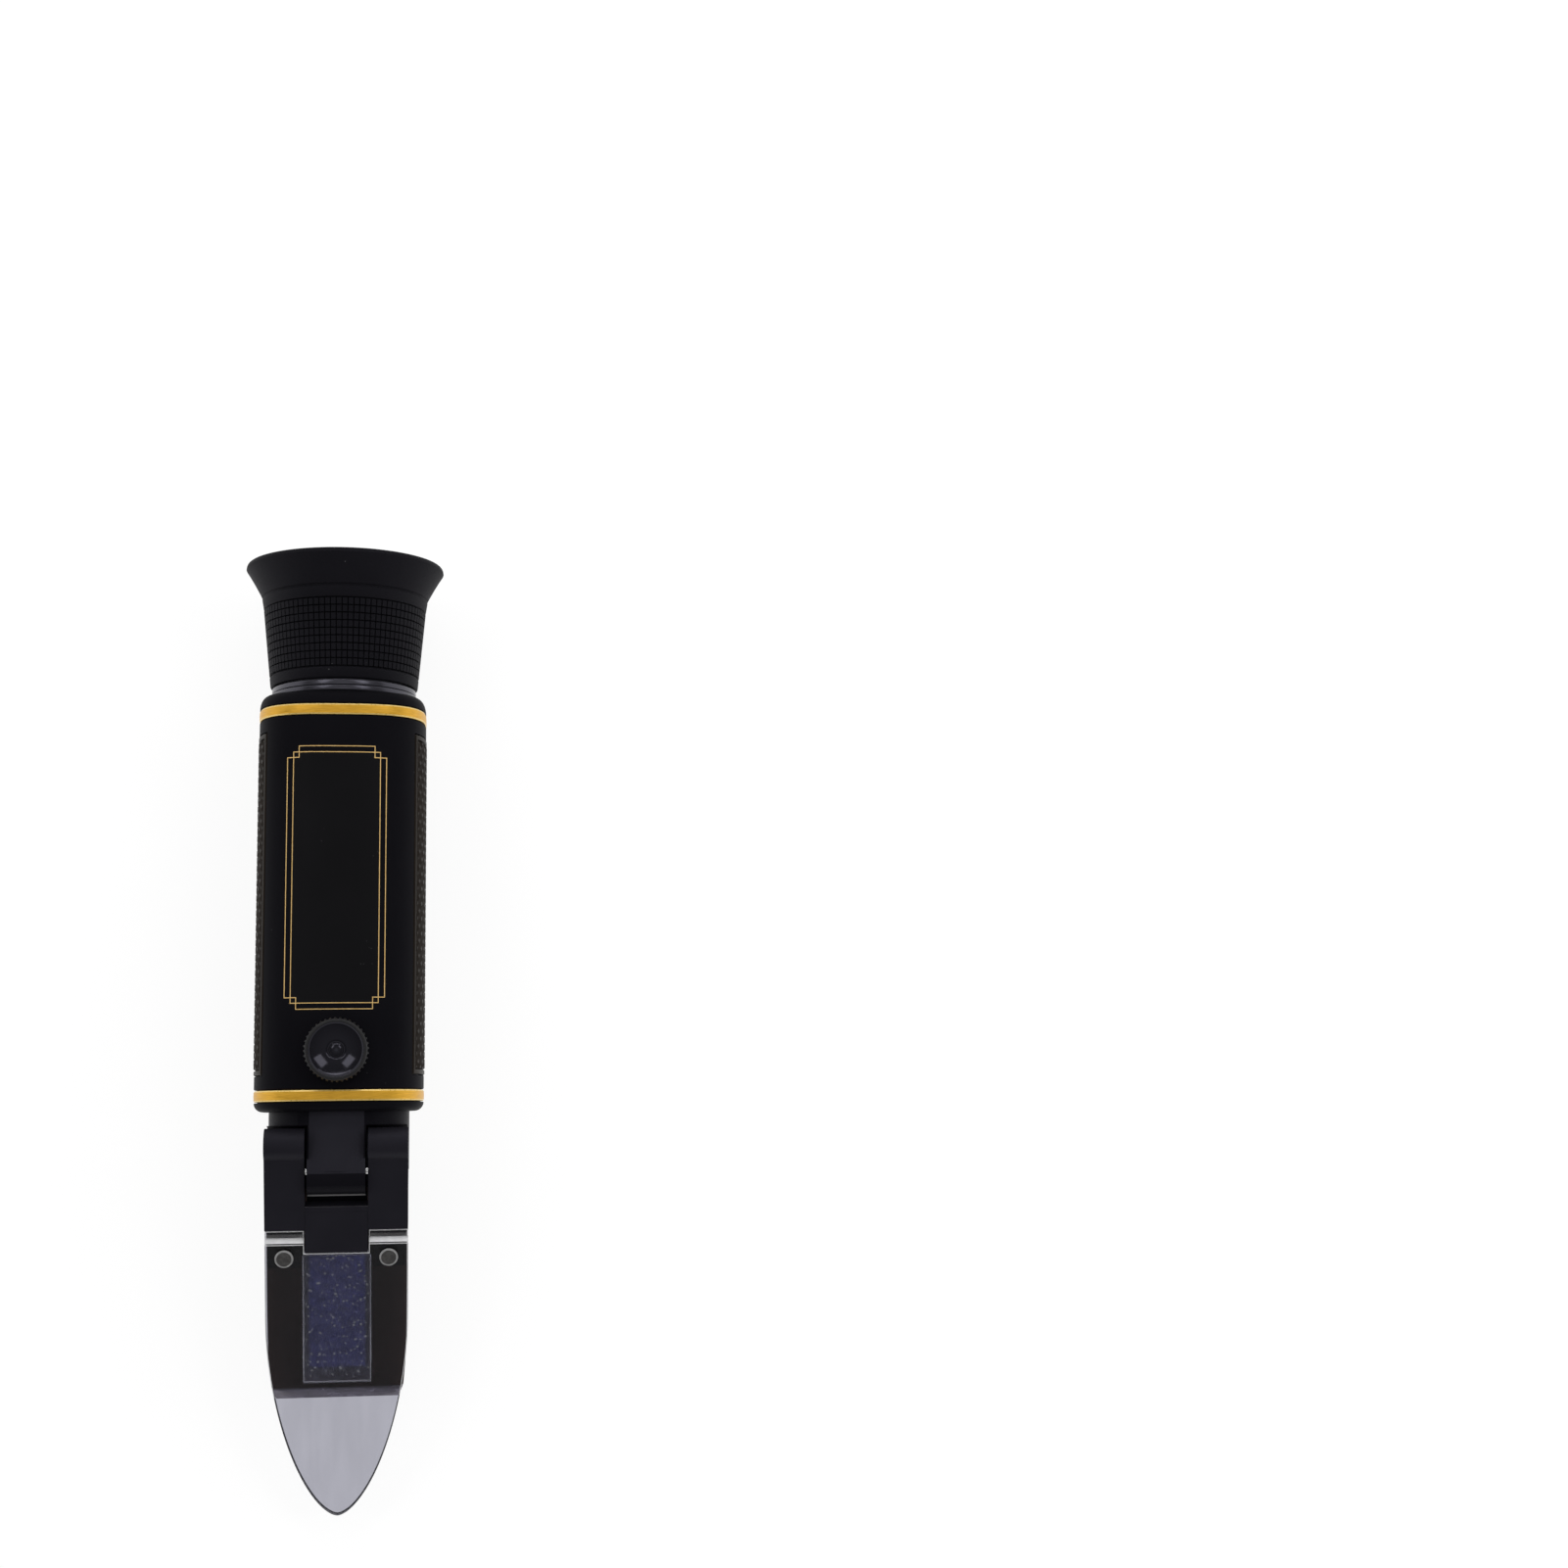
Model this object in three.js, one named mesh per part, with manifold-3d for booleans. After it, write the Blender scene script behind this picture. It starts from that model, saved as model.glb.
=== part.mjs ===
// A handheld refractometer in millimetres, +Z up, +Y towards the eyepiece, the knob on top.
// The origin is the middle of the barrel's flat belly.
// The group "optics" measures y from the barrel's front end, and z from the optical axis.
// The groups "sampleFrame" and "cover" lie at the hinge pin and lean with the sample plane:
// there, -y runs along the plate to its tip, and z stands square to it.

import * as THREE from 'three';
import { mergeVertices } from 'three/addons/utils/BufferGeometryUtils.js';
import Module from 'manifold-3d';

const wasm = await Module();
wasm.setup();

// Clearances and cuts
const fit = 0.2; // between pieces that seat on, or run in, each other
const overrun = 4; // how far a cut reaches past its material
const mergeDistance = 0.0005;
const wideSides = 48; // facets round a piece, by its size
const headSides = 40;
const middleSides = 32;
const narrowSides = 20;
const arcSteps = 3;

// Barrel
const barrelLength = 75.3;
const barrelHalfWidth = 15.15;
const barrelWall = 3.15; // where it is thinnest
const squareness = 3; // exponent of the section |x|^n + |z|^n
const bellyDepth = 0.15; // how deep the belly is cut flat
const frontRound = 1.6;
const shoulderLength = 2.3;
const shoulderDepth = 1.15;

// Gold bands, one next to the front round and one next to the shoulder
const bandWidth = 1.94;
const bandThickness = 0.45;
const bandProud = 0.05;

// Grip pads on the flanks, from band to band
const gripThickness = 0.9;
const gripProud = 0.1;
const gripTopInset = 4.75; // barrel top to pad
const gripFrontGap = 2.76;
const gripRearGap = 2.86;

// Head: neck, hinge tongue and prism bed
const headStep = 2.55; // how much the neck stands back from the barrel all round
const bedInset = 0.2; // the stretch under the plate is narrower, squarish below the axis and upright above
const bedFloorWall = 3.9; // under the prism
const noseWall = 5.81; // prism to head front
const noseChamfer = 2.3;
const spigotWall = 2.3;
const lightChannelRadius = 3.2;
const lightChannelDrop = 1.6; // below the barrel's axis, so that it stays under the bed
const tongueHalfWidth = 5.25;
const knuckleRadius = 3.4;
const earGap = 0.3; // each side of the tongue

// Hinge pin and the cover that swings on it
const pinSetback = 10.5; // barrel front end to hinge pin
const pinRadius = 0.75;
const pinInset = 0.4; // bracket side to pin end
const plateTilt = THREE.MathUtils.degToRad(20);
const coverSwing = THREE.MathUtils.degToRad(100);

// Prism and what holds it
const prismLength = 21.8; // along the plate
const prismHalfWidth = 5;
const prismNoseDepth = 2.5;
const prismNoseLength = 4;
const prismProud = 0.2; // above the head
const sealWidth = 0.8;
const sealThickness = 1;
const bedThickness = 0.6;

// Light stop and lock ring behind the head
const stopThickness = 1;
const stopRadius = 4;
const lockRingThickness = 1.8;

// Hinge bracket
const bracketProud = 0.3; // above the plate
const bossRadius = 3.2;
const humpBack = 4.96; // pin to hump centre
const humpDrop = 0.1;
const humpRadius = 2.9;
const windowGap = 2.55; // knuckle to bridge
const bridgeLength = 4.45;
const bracketTongueLength = 4.3;
const bracketTongueHalfWidth = 5.5;
const flangeLength = 9.1;
const flangeOverlap = 1.5; // how far the flange runs back under the arm
const flangeOuterInset = 0.4;

// Daylight plate
const plateLength = 55.5;
const plateThickness = 1.6;
const ogiveLength = 38.1;
const ogiveBluntness = 1.8;
const ogiveFullness = 0.6;
const ogiveSteps = 14;
const frostDepth = 0.8; // under the plate
const frostBackGap = 1.1; // bracket tongue to frosted pad
const frostSideMargin = 1; // frosted pad past the prism
const frostFrontMargin = 2.7;
const rivetInset = 5.3; // arm front to rivet
const rivetEdgeInset = 3; // flange side to rivet
const rivetRadius = 0.9;
const rivetHeadRadius = 1.65;
const rivetHeadHeight = 0.35;

// Calibration knob
const knobSetback = 10.7; // barrel front end to knob axis
const knobRadius = 5.7;
const knobTeeth = 36;
const knobToothDepth = 0.3;
const knobHeight = 2.55;
const knobRimWidth = 0.9;
const knobDishDepth = 1.3;
const knobScrewRadius = 1.35;
const knobScrewHeight = 0.6;
const knobScrewShank = 0.7;
const knobScrewReach = 2;
const stemWall = 0.4;
const stemCollarWidth = 0.9;
const stemCollarHeight = 0.5;
const stemEndGap = 0.6;
const bushingWall = 0.9;
const bushingFlangeWidth = 1.6;
const bushingFlangeHeight = 0.4;
const bushingTuck = 0.4; // how far the bushing reaches into the bore

// Objective
const objectiveCellGap = 3.6; // to the bore
const objectiveFlatDepth = 0.6;
const objectiveCellWall = 2.2;
const objectiveLip = 0.7;
const objectiveRim = 1; // flat rim round each cap
const objectiveSag = 0.7;
const crownThickness = 1.2;
const flintThickness = 2;
const objectiveRingThickness = 0.9;
const objectiveRingWall = 0.8;
const objectiveRearGap = 0.3;
const objectiveFrontGap = 0.85; // lock ring to objective
const shiftBossHalfWidth = 3.2;
const shiftBossGap = 0.7; // to the stem's collar
const shiftBossInset = 0.25;
const shiftBossFloorWall = 0.8; // under the threaded hole
const guideThickness = 1.8;
const guideWall = 5.2;
const cheekThickness = 2.4;
const cheekCornerGap = 0.35;

// Calibration spring
const springRadius = 1.8;
const springWireRadius = 0.2;
const springTurns = 3;
const springStepsPerTurn = 8;
const springSides = 5;

// Reticle
const reticleGap = 5; // to the focus tube
const reticleLip = 1;
const reticleLipHeight = 0.8;
const reticleWall = 4;
const reticleThickness = 1.4;
const reticleRingThickness = 1.6;
const reticleRingWall = 1;
const reticleRearGap = 0.6;

// Focus tube
const focusTubeSpigot = 9.3; // inside the barrel
const focusTubeStep = 1.2; // from the spigot down to the thread
const focusTubeWall = 1.2;
const focusTubeGap = 1.6; // to the sleeve's flange
const focusTravel = 5;

// Focus sleeve and end ring
const sleeveFrontGap = 0.3; // barrel rear end to sleeve
const sleeveLength = 18.4;
const sleeveBodyWall = 1.8;
const sleeveRearWall = 1;
const sleeveRearGap = 1; // end ring to sleeve rear
const sleeveFlangeThickness = 1.6;
const skirtLength = 2.1;
const skirtProud = 0.6;
const endRingThickness = 1.6;

// Eye lens cell and what it holds
const eyeCellLength = 18.4;
const eyeCellProud = 1; // behind the sleeve
const eyeCellWall = 1.6;
const eyeCellLip = 1.2;
const eyeCellLipHeight = 1;
const eyeLensThickness = 1.8;
const eyeLensSag = 1.6;
const eyeLensRim = 1.2; // flat rim round each cap
const fieldLensInset = 4;
const fieldLensThickness = 1.7;
const fieldLensSag = 1.6;
const lensSpacerWall = 1;
const eyeRingThickness = 1.4;
const guidePinInset = 1.6;
const guidePinRadius = 0.9;
const guidePinFoot = 0.3; // above the cell's bore

// Rubber eyecup
const cupGripWall = 0.7;
const cupGripTaper = 1.4; // how much wider the grip ends than it starts
const cupCollarLength = 2.6;
const cupCollarRise = 0.4;
const cupFlareInset = 1; // sleeve rear to flare
const cupFlareLength = 5.2;
const cupFlareRise = 2.9;
const cupRimLength = 0.8;
const cupRimRound = 0.4;
const cupRimWall = 1.3;
const cupFloorThickness = 1.2;
const cupFloorInset = 0.4;

// Places that follow from the sizes: barrel
const axisHeight = barrelHalfWidth - bellyDepth;
const boreRadius = barrelHalfWidth - barrelWall;
const spigotRadius = boreRadius - fit;
const counterboreRadius = spigotRadius - spigotWall;
const frontBandStart = frontRound + fit;
const rearBandStart = barrelLength - shoulderLength - fit - bandWidth;
const gripStart = frontBandStart + bandWidth + gripFrontGap;
const gripEnd = rearBandStart - gripRearGap;
const gripHalfHeight = barrelHalfWidth - gripTopInset;

// Heights over the plate's underside, and places along the plate from the pin
const frostUnder = -frostDepth;
const prismTop = frostUnder - fit;
const headTop = prismTop - prismProud;
const flangeTop = -fit;
const flangeUnder = headTop + fit;
const bracketUnder = frostUnder;
const bracketTop = plateThickness + bracketProud;
const windowFront = knuckleRadius + windowGap;
const armFront = windowFront + bridgeLength;
const bracketTongueFront = armFront + bracketTongueLength;
const flangeBack = armFront - flangeOverlap;
const flangeFront = flangeBack + flangeLength;
const rivetSetback = armFront + rivetInset;
const prismBack = bracketTongueFront + frostBackGap;
const prismFront = prismBack + prismLength;
const frostFront = prismFront + frostFrontMargin;
const plateBack = armFront + fit;
const plateTip = plateBack + plateLength;
const ogiveStart = plateTip - ogiveLength;

// Head and cover
const headRadius = barrelHalfWidth - headStep;
const plateHalfWidth = headRadius;
const bracketHalfWidth = headRadius;
const bedHalfWidth = headRadius - bedInset;
const prismFloor = bedHalfWidth - bedFloorWall;
const pinHeight = headRadius - fit - knuckleRadius;
const pinHalfLength = bracketHalfWidth - pinInset;
const headLength = noseWall - platePoint(prismFront, prismTop).x;
const earInside = tongueHalfWidth + earGap;
const humpDistance = Math.hypot(humpBack, humpDrop);
const tailAngle = -Math.atan2(humpDrop, humpBack);
const tailSpread = Math.acos((bossRadius - humpRadius) / humpDistance);
const neckReach = humpDistance + humpRadius + fit; // pin to recess wall
const neckLength = pinSetback - neckReach;
const frostHalfWidth = prismHalfWidth + frostSideMargin;
const flangeInside = frostHalfWidth + 2 * fit;
const flangeOutside = bracketHalfWidth - flangeOuterInset;
const rivetSpread = flangeOutside - rivetEdgeInset;

// Knob and objective
const knobBottom = barrelHalfWidth + fit + bushingFlangeHeight + fit;
const knobTop = knobBottom + knobHeight;
const knobDishRadius = knobRadius - knobRimWidth;
const knobDishFloor = knobTop - knobDishDepth;
const stemTop = knobDishFloor - fit - bushingFlangeHeight;
const stemRadius = knobScrewShank + fit + stemWall;
const stemCollarRadius = stemRadius + stemCollarWidth;
const bushingRadius = stemRadius + fit + bushingWall;
const bushingFlangeRadius = bushingRadius + bushingFlangeWidth;
const bushingFoot = boreRadius - bushingTuck;
const stemCollarTop = bushingFoot - fit;
const stemCollarFoot = stemCollarTop - stemCollarHeight;
const objectiveCellRadius = boreRadius - objectiveCellGap;
const objectiveCellFlat = objectiveCellRadius - objectiveFlatDepth;
const objectiveBore = objectiveCellRadius - objectiveCellWall;
const objectiveLensRadius = objectiveBore - fit;
const objectiveCapRadius = objectiveBore - objectiveRim;
const objectiveGlassLength = crownThickness + fit + flintThickness;
const objectiveCellLength =
  objectiveLip + fit + objectiveGlassLength + fit + objectiveRingThickness + objectiveRearGap;
const objectiveFront = knobSetback - objectiveCellLength / 2;
const objectiveRear = knobSetback + objectiveCellLength / 2;
const shiftBossTop = stemCollarFoot - shiftBossGap;
const shiftBossHalfLength = objectiveCellLength / 2 - shiftBossInset;
const shiftBossFloor = objectiveBore + shiftBossFloorWall;
const stemEnd = shiftBossFloor + stemEndGap;
const guideApertureRadius = boreRadius - fit - guideWall;
const spigotLength = objectiveFront - objectiveFrontGap - lockRingThickness - fit;

// Eyepiece, y from the barrel front end
const focusTubeSpigotRadius = boreRadius - fit;
const focusTubeRadius = focusTubeSpigotRadius - focusTubeStep;
const focusTubeBore = focusTubeRadius - focusTubeWall;
const focusTubeStart = barrelLength - focusTubeSpigot;
const reticleCellLength =
  reticleLip + fit + reticleThickness + fit + reticleRingThickness + reticleRearGap;
const reticleSetback = focusTubeStart - reticleGap - reticleCellLength;
const reticleBore = boreRadius - fit - reticleWall;
const reticleClearRadius = reticleBore - reticleLipHeight;
const sleeveStart = barrelLength + sleeveFrontGap;
const sleeveRear = sleeveStart + sleeveLength;
const sleeveFlangeRear = sleeveRear - sleeveRearGap - endRingThickness - fit;
const sleeveFlangeFront = sleeveFlangeRear - sleeveFlangeThickness;
const sleeveBore = focusTubeRadius + fit;
const sleeveRadius = sleeveBore + sleeveBodyWall;
const skirtRadius = sleeveRadius + skirtProud;
const focusTubeEnd = sleeveFlangeFront - focusTubeGap;
const eyeCellRear = sleeveRear + eyeCellProud;
const eyeCellFront = eyeCellRear - eyeCellLength;
const eyeCellRadius = focusTubeBore - fit;
const eyeCellBore = eyeCellRadius - eyeCellWall;
const eyeLensRadius = eyeCellBore - fit;
const eyeLensCapRadius = eyeLensRadius - eyeLensRim;
const fieldLensFront = eyeCellFront + fieldLensInset;
const guidePinSetback = eyeCellFront + guidePinInset;
const cupBore = sleeveRadius + fit;
const cupFront = sleeveStart + skirtLength + fit;
const cupFlareStart = sleeveRear + cupFlareInset;
const cupGripEnd = cupFlareStart - cupCollarLength;
const cupRimStart = cupFlareStart + cupFlareLength;
const cupRear = cupRimStart + cupRimLength;
const cupGripFrontRadius = cupBore + cupGripWall;
const cupGripRearRadius = cupGripFrontRadius + cupGripTaper;
const cupFlareRadius = cupGripRearRadius + cupCollarRise;
const cupRimRadius = cupFlareRadius + cupFlareRise;
const cupFloorRadius = sleeveRadius - cupFloorInset;

// Finishes
const finish = (color, roughness, metalness = 0, opacity = 1) =>
  new THREE.MeshStandardMaterial({ color, roughness, metalness, opacity, transparent: opacity < 1 });
const blackPaint = finish(0x141416, 0.5);
const headPaint = finish(0x1e1e22, 0.45);
const grip = finish(0x25221f, 0.8);
const cupRubber = finish(0x151517, 0.85);
const gold = finish(0xb78928, 0.35, 1);
const glossBlack = finish(0x18181c, 0.15);
const bracketBlack = finish(0x1d1c21, 0.5);
const clearPlastic = finish(0xdfe3e6, 0.08, 0, 0.35);
const glass = finish(0xa8b4d0, 0.03, 0, 0.5);
const steel = finish(0xc4c4c6, 0.25, 1);
const rivetGrey = finish(0x6c6a6a, 0.5, 0.4);
const brass = finish(0xb59a56, 0.35, 1);
const aluminium = finish(0x8d8f93, 0.45, 1);
const darkRubber = finish(0x1a1a1a, 0.9);

// Solids and surfaces
function solid(geometry) {
  const bare = geometry.index ? geometry.toNonIndexed() : geometry.clone();
  bare.deleteAttribute('normal');
  bare.deleteAttribute('uv');
  const merged = mergeVertices(bare, mergeDistance);
  const vertProperties = merged.attributes.position.array;
  const triVerts = new Uint32Array(merged.index.array);
  return new wasm.Manifold(new wasm.Mesh({ numProp: 3, vertProperties, triVerts }));
}

function surface(body) {
  const mesh = body.getMesh();
  const geometry = new THREE.BufferGeometry();
  geometry.setAttribute('position', new THREE.BufferAttribute(new Float32Array(mesh.vertProperties), 3));
  geometry.setIndex(new THREE.BufferAttribute(new Uint32Array(mesh.triVerts), 1));
  geometry.computeVertexNormals();
  return geometry;
}

const join = (first, ...others) =>
  surface(others.reduce((body, other) => body.add(solid(other)), solid(first)));
const cut = (base, ...tools) =>
  surface(tools.reduce((body, tool) => body.subtract(solid(tool)), solid(base)));
const common = (first, second) => surface(solid(first).intersect(solid(second)));

// Turns an outline of radius and height round the y axis, whichever way round it was drawn.
function turned(path, sides) {
  const points = path.getPoints(arcSteps);
  if (THREE.ShapeUtils.area(points) < 0) points.reverse();
  const last = points.length - 1;
  const open = points[0].x > 0 && !points[0].equals(points[last]);
  if (open) points.push(points[0].clone());
  return new THREE.LatheGeometry(points, sides);
}

// A ring or tube of plain rectangular section round the y axis.
function ring(inner, outer, start, end, sides) {
  const path = new THREE.Path();
  path.moveTo(inner, start);
  path.lineTo(outer, start);
  path.lineTo(outer, end);
  path.lineTo(inner, end);
  return turned(path, sides);
}

const bar = (radius, start, end, sides) =>
  new THREE.CylinderGeometry(radius, radius, end - start, sides).translate(0, (start + end) / 2, 0);
const upright = (geometry) => geometry.rotateX(Math.PI / 2);
const sideways = (geometry) => geometry.rotateZ(-Math.PI / 2);

const block = (x0, x1, y0, y1, z0, z1) =>
  new THREE.BoxGeometry(x1 - x0, y1 - y0, z1 - z0).translate((x0 + x1) / 2, (y0 + y1) / 2, (z0 + z1) / 2);

const extruded = (shape, depth) =>
  new THREE.ExtrudeGeometry(shape, { depth, bevelEnabled: false, curveSegments: 2 * arcSteps });
const extrudedUp = (shape, z0, z1) => extruded(shape, z1 - z0).translate(0, 0, z0);
const extrudedAlong = (shape, y0, y1) => extruded(shape, y1 - y0).rotateX(Math.PI / 2).translate(0, y1, 0);
const sideTurn = new THREE.Matrix4().makeBasis(
  new THREE.Vector3(0, 1, 0),
  new THREE.Vector3(0, 0, 1),
  new THREE.Vector3(1, 0, 0),
);
const extrudedAcross = (shape, x0, x1) => extruded(shape, x1 - x0).applyMatrix4(sideTurn).translate(x0, 0, 0);

// How far out a squarish section of a half width lies at an angle from +x.
const squaredReach = (halfWidth, angle) =>
  halfWidth * (Math.abs(Math.cos(angle)) ** squareness + Math.abs(Math.sin(angle)) ** squareness) ** (-1 / squareness);

// Presses a turned body's section, where it is wider than a radius, into the barrel's squarish one.
function squared(geometry, beyond) {
  const place = geometry.attributes.position;
  for (let i = 0; i < place.count; i++) {
    const x = place.getX(i);
    const z = place.getZ(i);
    const radius = Math.hypot(x, z);
    if (radius <= beyond) continue;
    const reach = squaredReach(radius, Math.atan2(z, x));
    place.setXYZ(i, (x / radius) * reach, place.getY(i), (z / radius) * reach);
  }
  return geometry;
}

// Moves a geometry from the plate's frame to the optics frame.
const fromPlateFrame = (geometry) => geometry.rotateX(plateTilt).translate(0, -pinSetback, pinHeight);

// Where a point, so far along the plate and so high over the pin, lies in the optics frame.
function platePoint(along, high) {
  const y = -pinSetback - along * Math.cos(plateTilt) - high * Math.sin(plateTilt);
  const z = pinHeight - along * Math.sin(plateTilt) + high * Math.cos(plateTilt);
  return new THREE.Vector2(y, z);
}

function mesh(name, geometry, material, parent) {
  const made = new THREE.Mesh(geometry, material);
  made.name = name;
  parent.add(made);
  return made;
}

const instrument = new THREE.Group();
const optics = new THREE.Group();
optics.position.set(0, -barrelLength / 2, axisHeight);
instrument.add(optics);
const sampleFrame = new THREE.Group();
sampleFrame.position.set(0, -pinSetback, pinHeight);
sampleFrame.rotation.x = plateTilt;
const cover = sampleFrame.clone();
optics.add(sampleFrame, cover);
const knobAxis = new THREE.Group();
knobAxis.position.set(0, knobSetback, 0);
optics.add(knobAxis);

// Barrel shell with its bore, band grooves, grip pockets, flat belly and knob hole
const grooveDepth = bandThickness + fit - bandProud;
const bellyCut = () =>
  block(-barrelHalfWidth, barrelHalfWidth, -overrun, barrelLength + overrun, -axisHeight - overrun, -axisHeight);

function barrelProfile() {
  const path = new THREE.Path();
  const groove = (start) => {
    path.lineTo(barrelHalfWidth, start - fit);
    path.lineTo(barrelHalfWidth - grooveDepth, start - fit);
    path.lineTo(barrelHalfWidth - grooveDepth, start + bandWidth + fit);
    path.lineTo(barrelHalfWidth, start + bandWidth + fit);
  };
  path.moveTo(boreRadius, 0);
  path.lineTo(barrelHalfWidth - frontRound, 0);
  path.absarc(barrelHalfWidth - frontRound, frontRound, frontRound, -Math.PI / 2, 0, false);
  groove(frontBandStart);
  groove(rearBandStart);
  const shoulderStart = barrelLength - shoulderLength;
  path.lineTo(barrelHalfWidth, shoulderStart);
  const middle = barrelHalfWidth - shoulderDepth;
  path.absellipse(middle, shoulderStart, shoulderDepth, shoulderLength, 0, Math.PI / 2, false, 0);
  path.lineTo(boreRadius, barrelLength);
  return path;
}

// A layer round the barrel, cut to one flank, as deep as a pad or, grown by a clearance, as its pocket.
function flankLayer(side, grow) {
  const outer = barrelHalfWidth + gripProud;
  const inner = outer - gripThickness - grow;
  const start = gripStart - grow;
  const end = gripEnd + grow;
  const layer = squared(ring(inner, outer + overrun * Math.sign(grow), start, end, wideSides), 0);
  const reach = side * (barrelHalfWidth + 2 * overrun);
  const height = gripHalfHeight + grow;
  return common(layer, block(Math.min(0, reach), Math.max(0, reach), start - overrun, end + overrun, -height, height));
}

function barrelShell() {
  const bushingHole = upright(bar(bushingRadius + fit, 0, barrelHalfWidth + overrun, narrowSides));
  return cut(
    squared(turned(barrelProfile(), wideSides), boreRadius + fit),
    flankLayer(-1, fit),
    flankLayer(1, fit),
    bushingHole.translate(0, knobSetback, 0),
    bellyCut(),
  );
}
mesh('barrel_shell', barrelShell(), blackPaint, optics);
mesh('left_grip_pad', flankLayer(-1, 0), grip, optics);
mesh('right_grip_pad', flankLayer(1, 0), grip, optics);

function goldBand(start) {
  const outer = barrelHalfWidth + bandProud;
  return cut(squared(ring(outer - bandThickness, outer, start, start + bandWidth, wideSides), 0), bellyCut());
}
mesh('front_gold_band', goldBand(frontBandStart), gold, optics);
mesh('rear_gold_band', goldBand(rearBandStart), gold, optics);

// Prism outline seen from the side, in the optics frame
function prismOutline(grow, lift, sink) {
  const back = platePoint(prismBack, prismTop);
  const front = platePoint(prismFront + grow, prismTop + lift);
  const nose = platePoint(prismFront + grow, prismTop - prismNoseDepth);
  const rearY = back.x + grow;
  const floor = -prismFloor - grow - sink;
  const outline = new THREE.Shape();
  outline.moveTo(rearY, back.y + lift);
  outline.lineTo(front.x, front.y);
  outline.lineTo(nose.x, nose.y);
  outline.lineTo(nose.x + prismNoseLength, floor);
  outline.lineTo(rearY, floor);
  return outline;
}

// Room for an ear beside the tongue: its boss, the swing of its tail and all above the pin.
// Where the swing ends, a straight line touches the boss's room and the tail's.
function earPocket(side) {
  const bossRoom = bossRadius + fit;
  const lineSquare = plateTilt + tailAngle - coverSwing - tailSpread;
  const swingEnd = lineSquare + Math.acos(bossRoom / neckReach);
  const outline = new THREE.Shape();
  outline.moveTo(neckReach, 0);
  outline.lineTo(neckReach, headRadius);
  outline.lineTo(-bossRoom, headRadius);
  outline.absarc(0, 0, bossRoom, Math.PI, 2 * Math.PI + lineSquare, false);
  outline.absarc(0, 0, neckReach, swingEnd, 0, false);
  const x0 = tongueHalfWidth;
  const x1 = headRadius + overrun;
  const pocket = extrudedAcross(outline, side > 0 ? x0 : -x1, side > 0 ? x1 : -x0);
  return pocket.translate(0, -pinSetback, pinHeight);
}

function prismHousing() {
  const section = new THREE.Shape();
  section.moveTo(bedHalfWidth, bedHalfWidth);
  section.lineTo(-bedHalfWidth, bedHalfWidth);
  for (let i = 0; i <= headSides / 2; i++) {
    const angle = Math.PI * (1 + (2 * i) / headSides);
    const reach = squaredReach(bedHalfWidth, angle);
    section.lineTo(reach * Math.cos(angle), reach * Math.sin(angle));
  }
  const wide = headRadius + overrun;
  const far = 2 * headLength;
  const aboveSample = fromPlateFrame(block(-wide, wide, -far, far, headTop, headTop + far));
  const noseTop = platePoint(headLength - pinSetback, headTop);
  const nose = new THREE.Shape();
  nose.moveTo(-headLength - overrun, noseTop.y - noseChamfer - overrun);
  nose.lineTo(-headLength + noseChamfer + 2 * overrun, noseTop.y + 2 * overrun);
  nose.lineTo(-headLength - overrun, noseTop.y + 2 * overrun);
  const bed = cut(extrudedAlong(section, -headLength, -neckLength), aboveSample, extrudedAcross(nose, -wide, wide));
  const underTongue = block(-wide, wide, -pinSetback - overrun, -neckLength, -wide, 0);
  const neck = cut(bar(headRadius, -pinSetback, 0, headSides), underTongue);
  const knuckle = sideways(bar(knuckleRadius, -tongueHalfWidth, tongueHalfWidth, middleSides));
  knuckle.translate(0, -pinSetback, pinHeight);
  const spigot = bar(spigotRadius, -fit, spigotLength, middleSides);
  const whole = join(bed, neck, knuckle, spigot);
  const pinHole = sideways(bar(pinRadius + fit, -wide, wide, narrowSides)).translate(0, -pinSetback, pinHeight);
  const pocketHalfWidth = prismHalfWidth + fit;
  const prismPocket = extrudedAcross(prismOutline(fit, overrun, bedThickness + fit), -pocketHalfWidth, pocketHalfWidth);
  const sealHalfWidth = pocketHalfWidth + sealWidth + fit;
  const sealBack = prismBack - sealWidth - 2 * fit;
  const sealFront = prismFront + sealWidth + 2 * fit;
  const sealFloor = headTop - sealThickness - fit;
  const sealSeat = fromPlateFrame(
    block(-sealHalfWidth, sealHalfWidth, -sealFront, -sealBack, sealFloor, headTop + overrun),
  );
  const channelFront = platePoint(prismBack, prismTop).x - fit;
  const channel = bar(lightChannelRadius, channelFront, spigotLength + overrun, narrowSides);
  channel.translate(0, 0, -lightChannelDrop);
  const counterbore = bar(counterboreRadius, 0, spigotLength + overrun, middleSides);
  return cut(whole, earPocket(-1), earPocket(1), pinHole, prismPocket, sealSeat, channel, counterbore);
}
mesh('prism_housing', prismHousing(), headPaint, optics);

const hingePin = sideways(bar(pinRadius, -pinHalfLength, pinHalfLength, narrowSides));
mesh('hinge_pin', hingePin, steel, optics).position.set(0, -pinSetback, pinHeight);

mesh('measuring_prism', extrudedAcross(prismOutline(0, 0, 0), -prismHalfWidth, prismHalfWidth), glass, optics);

// A rectangle seen from above, between two places along the plate
function plateRectangle(halfWidth, back, front) {
  const outline = new THREE.Shape();
  outline.moveTo(-halfWidth, -front);
  outline.lineTo(halfWidth, -front);
  outline.lineTo(halfWidth, -back);
  outline.lineTo(-halfWidth, -back);
  return outline;
}

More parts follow.
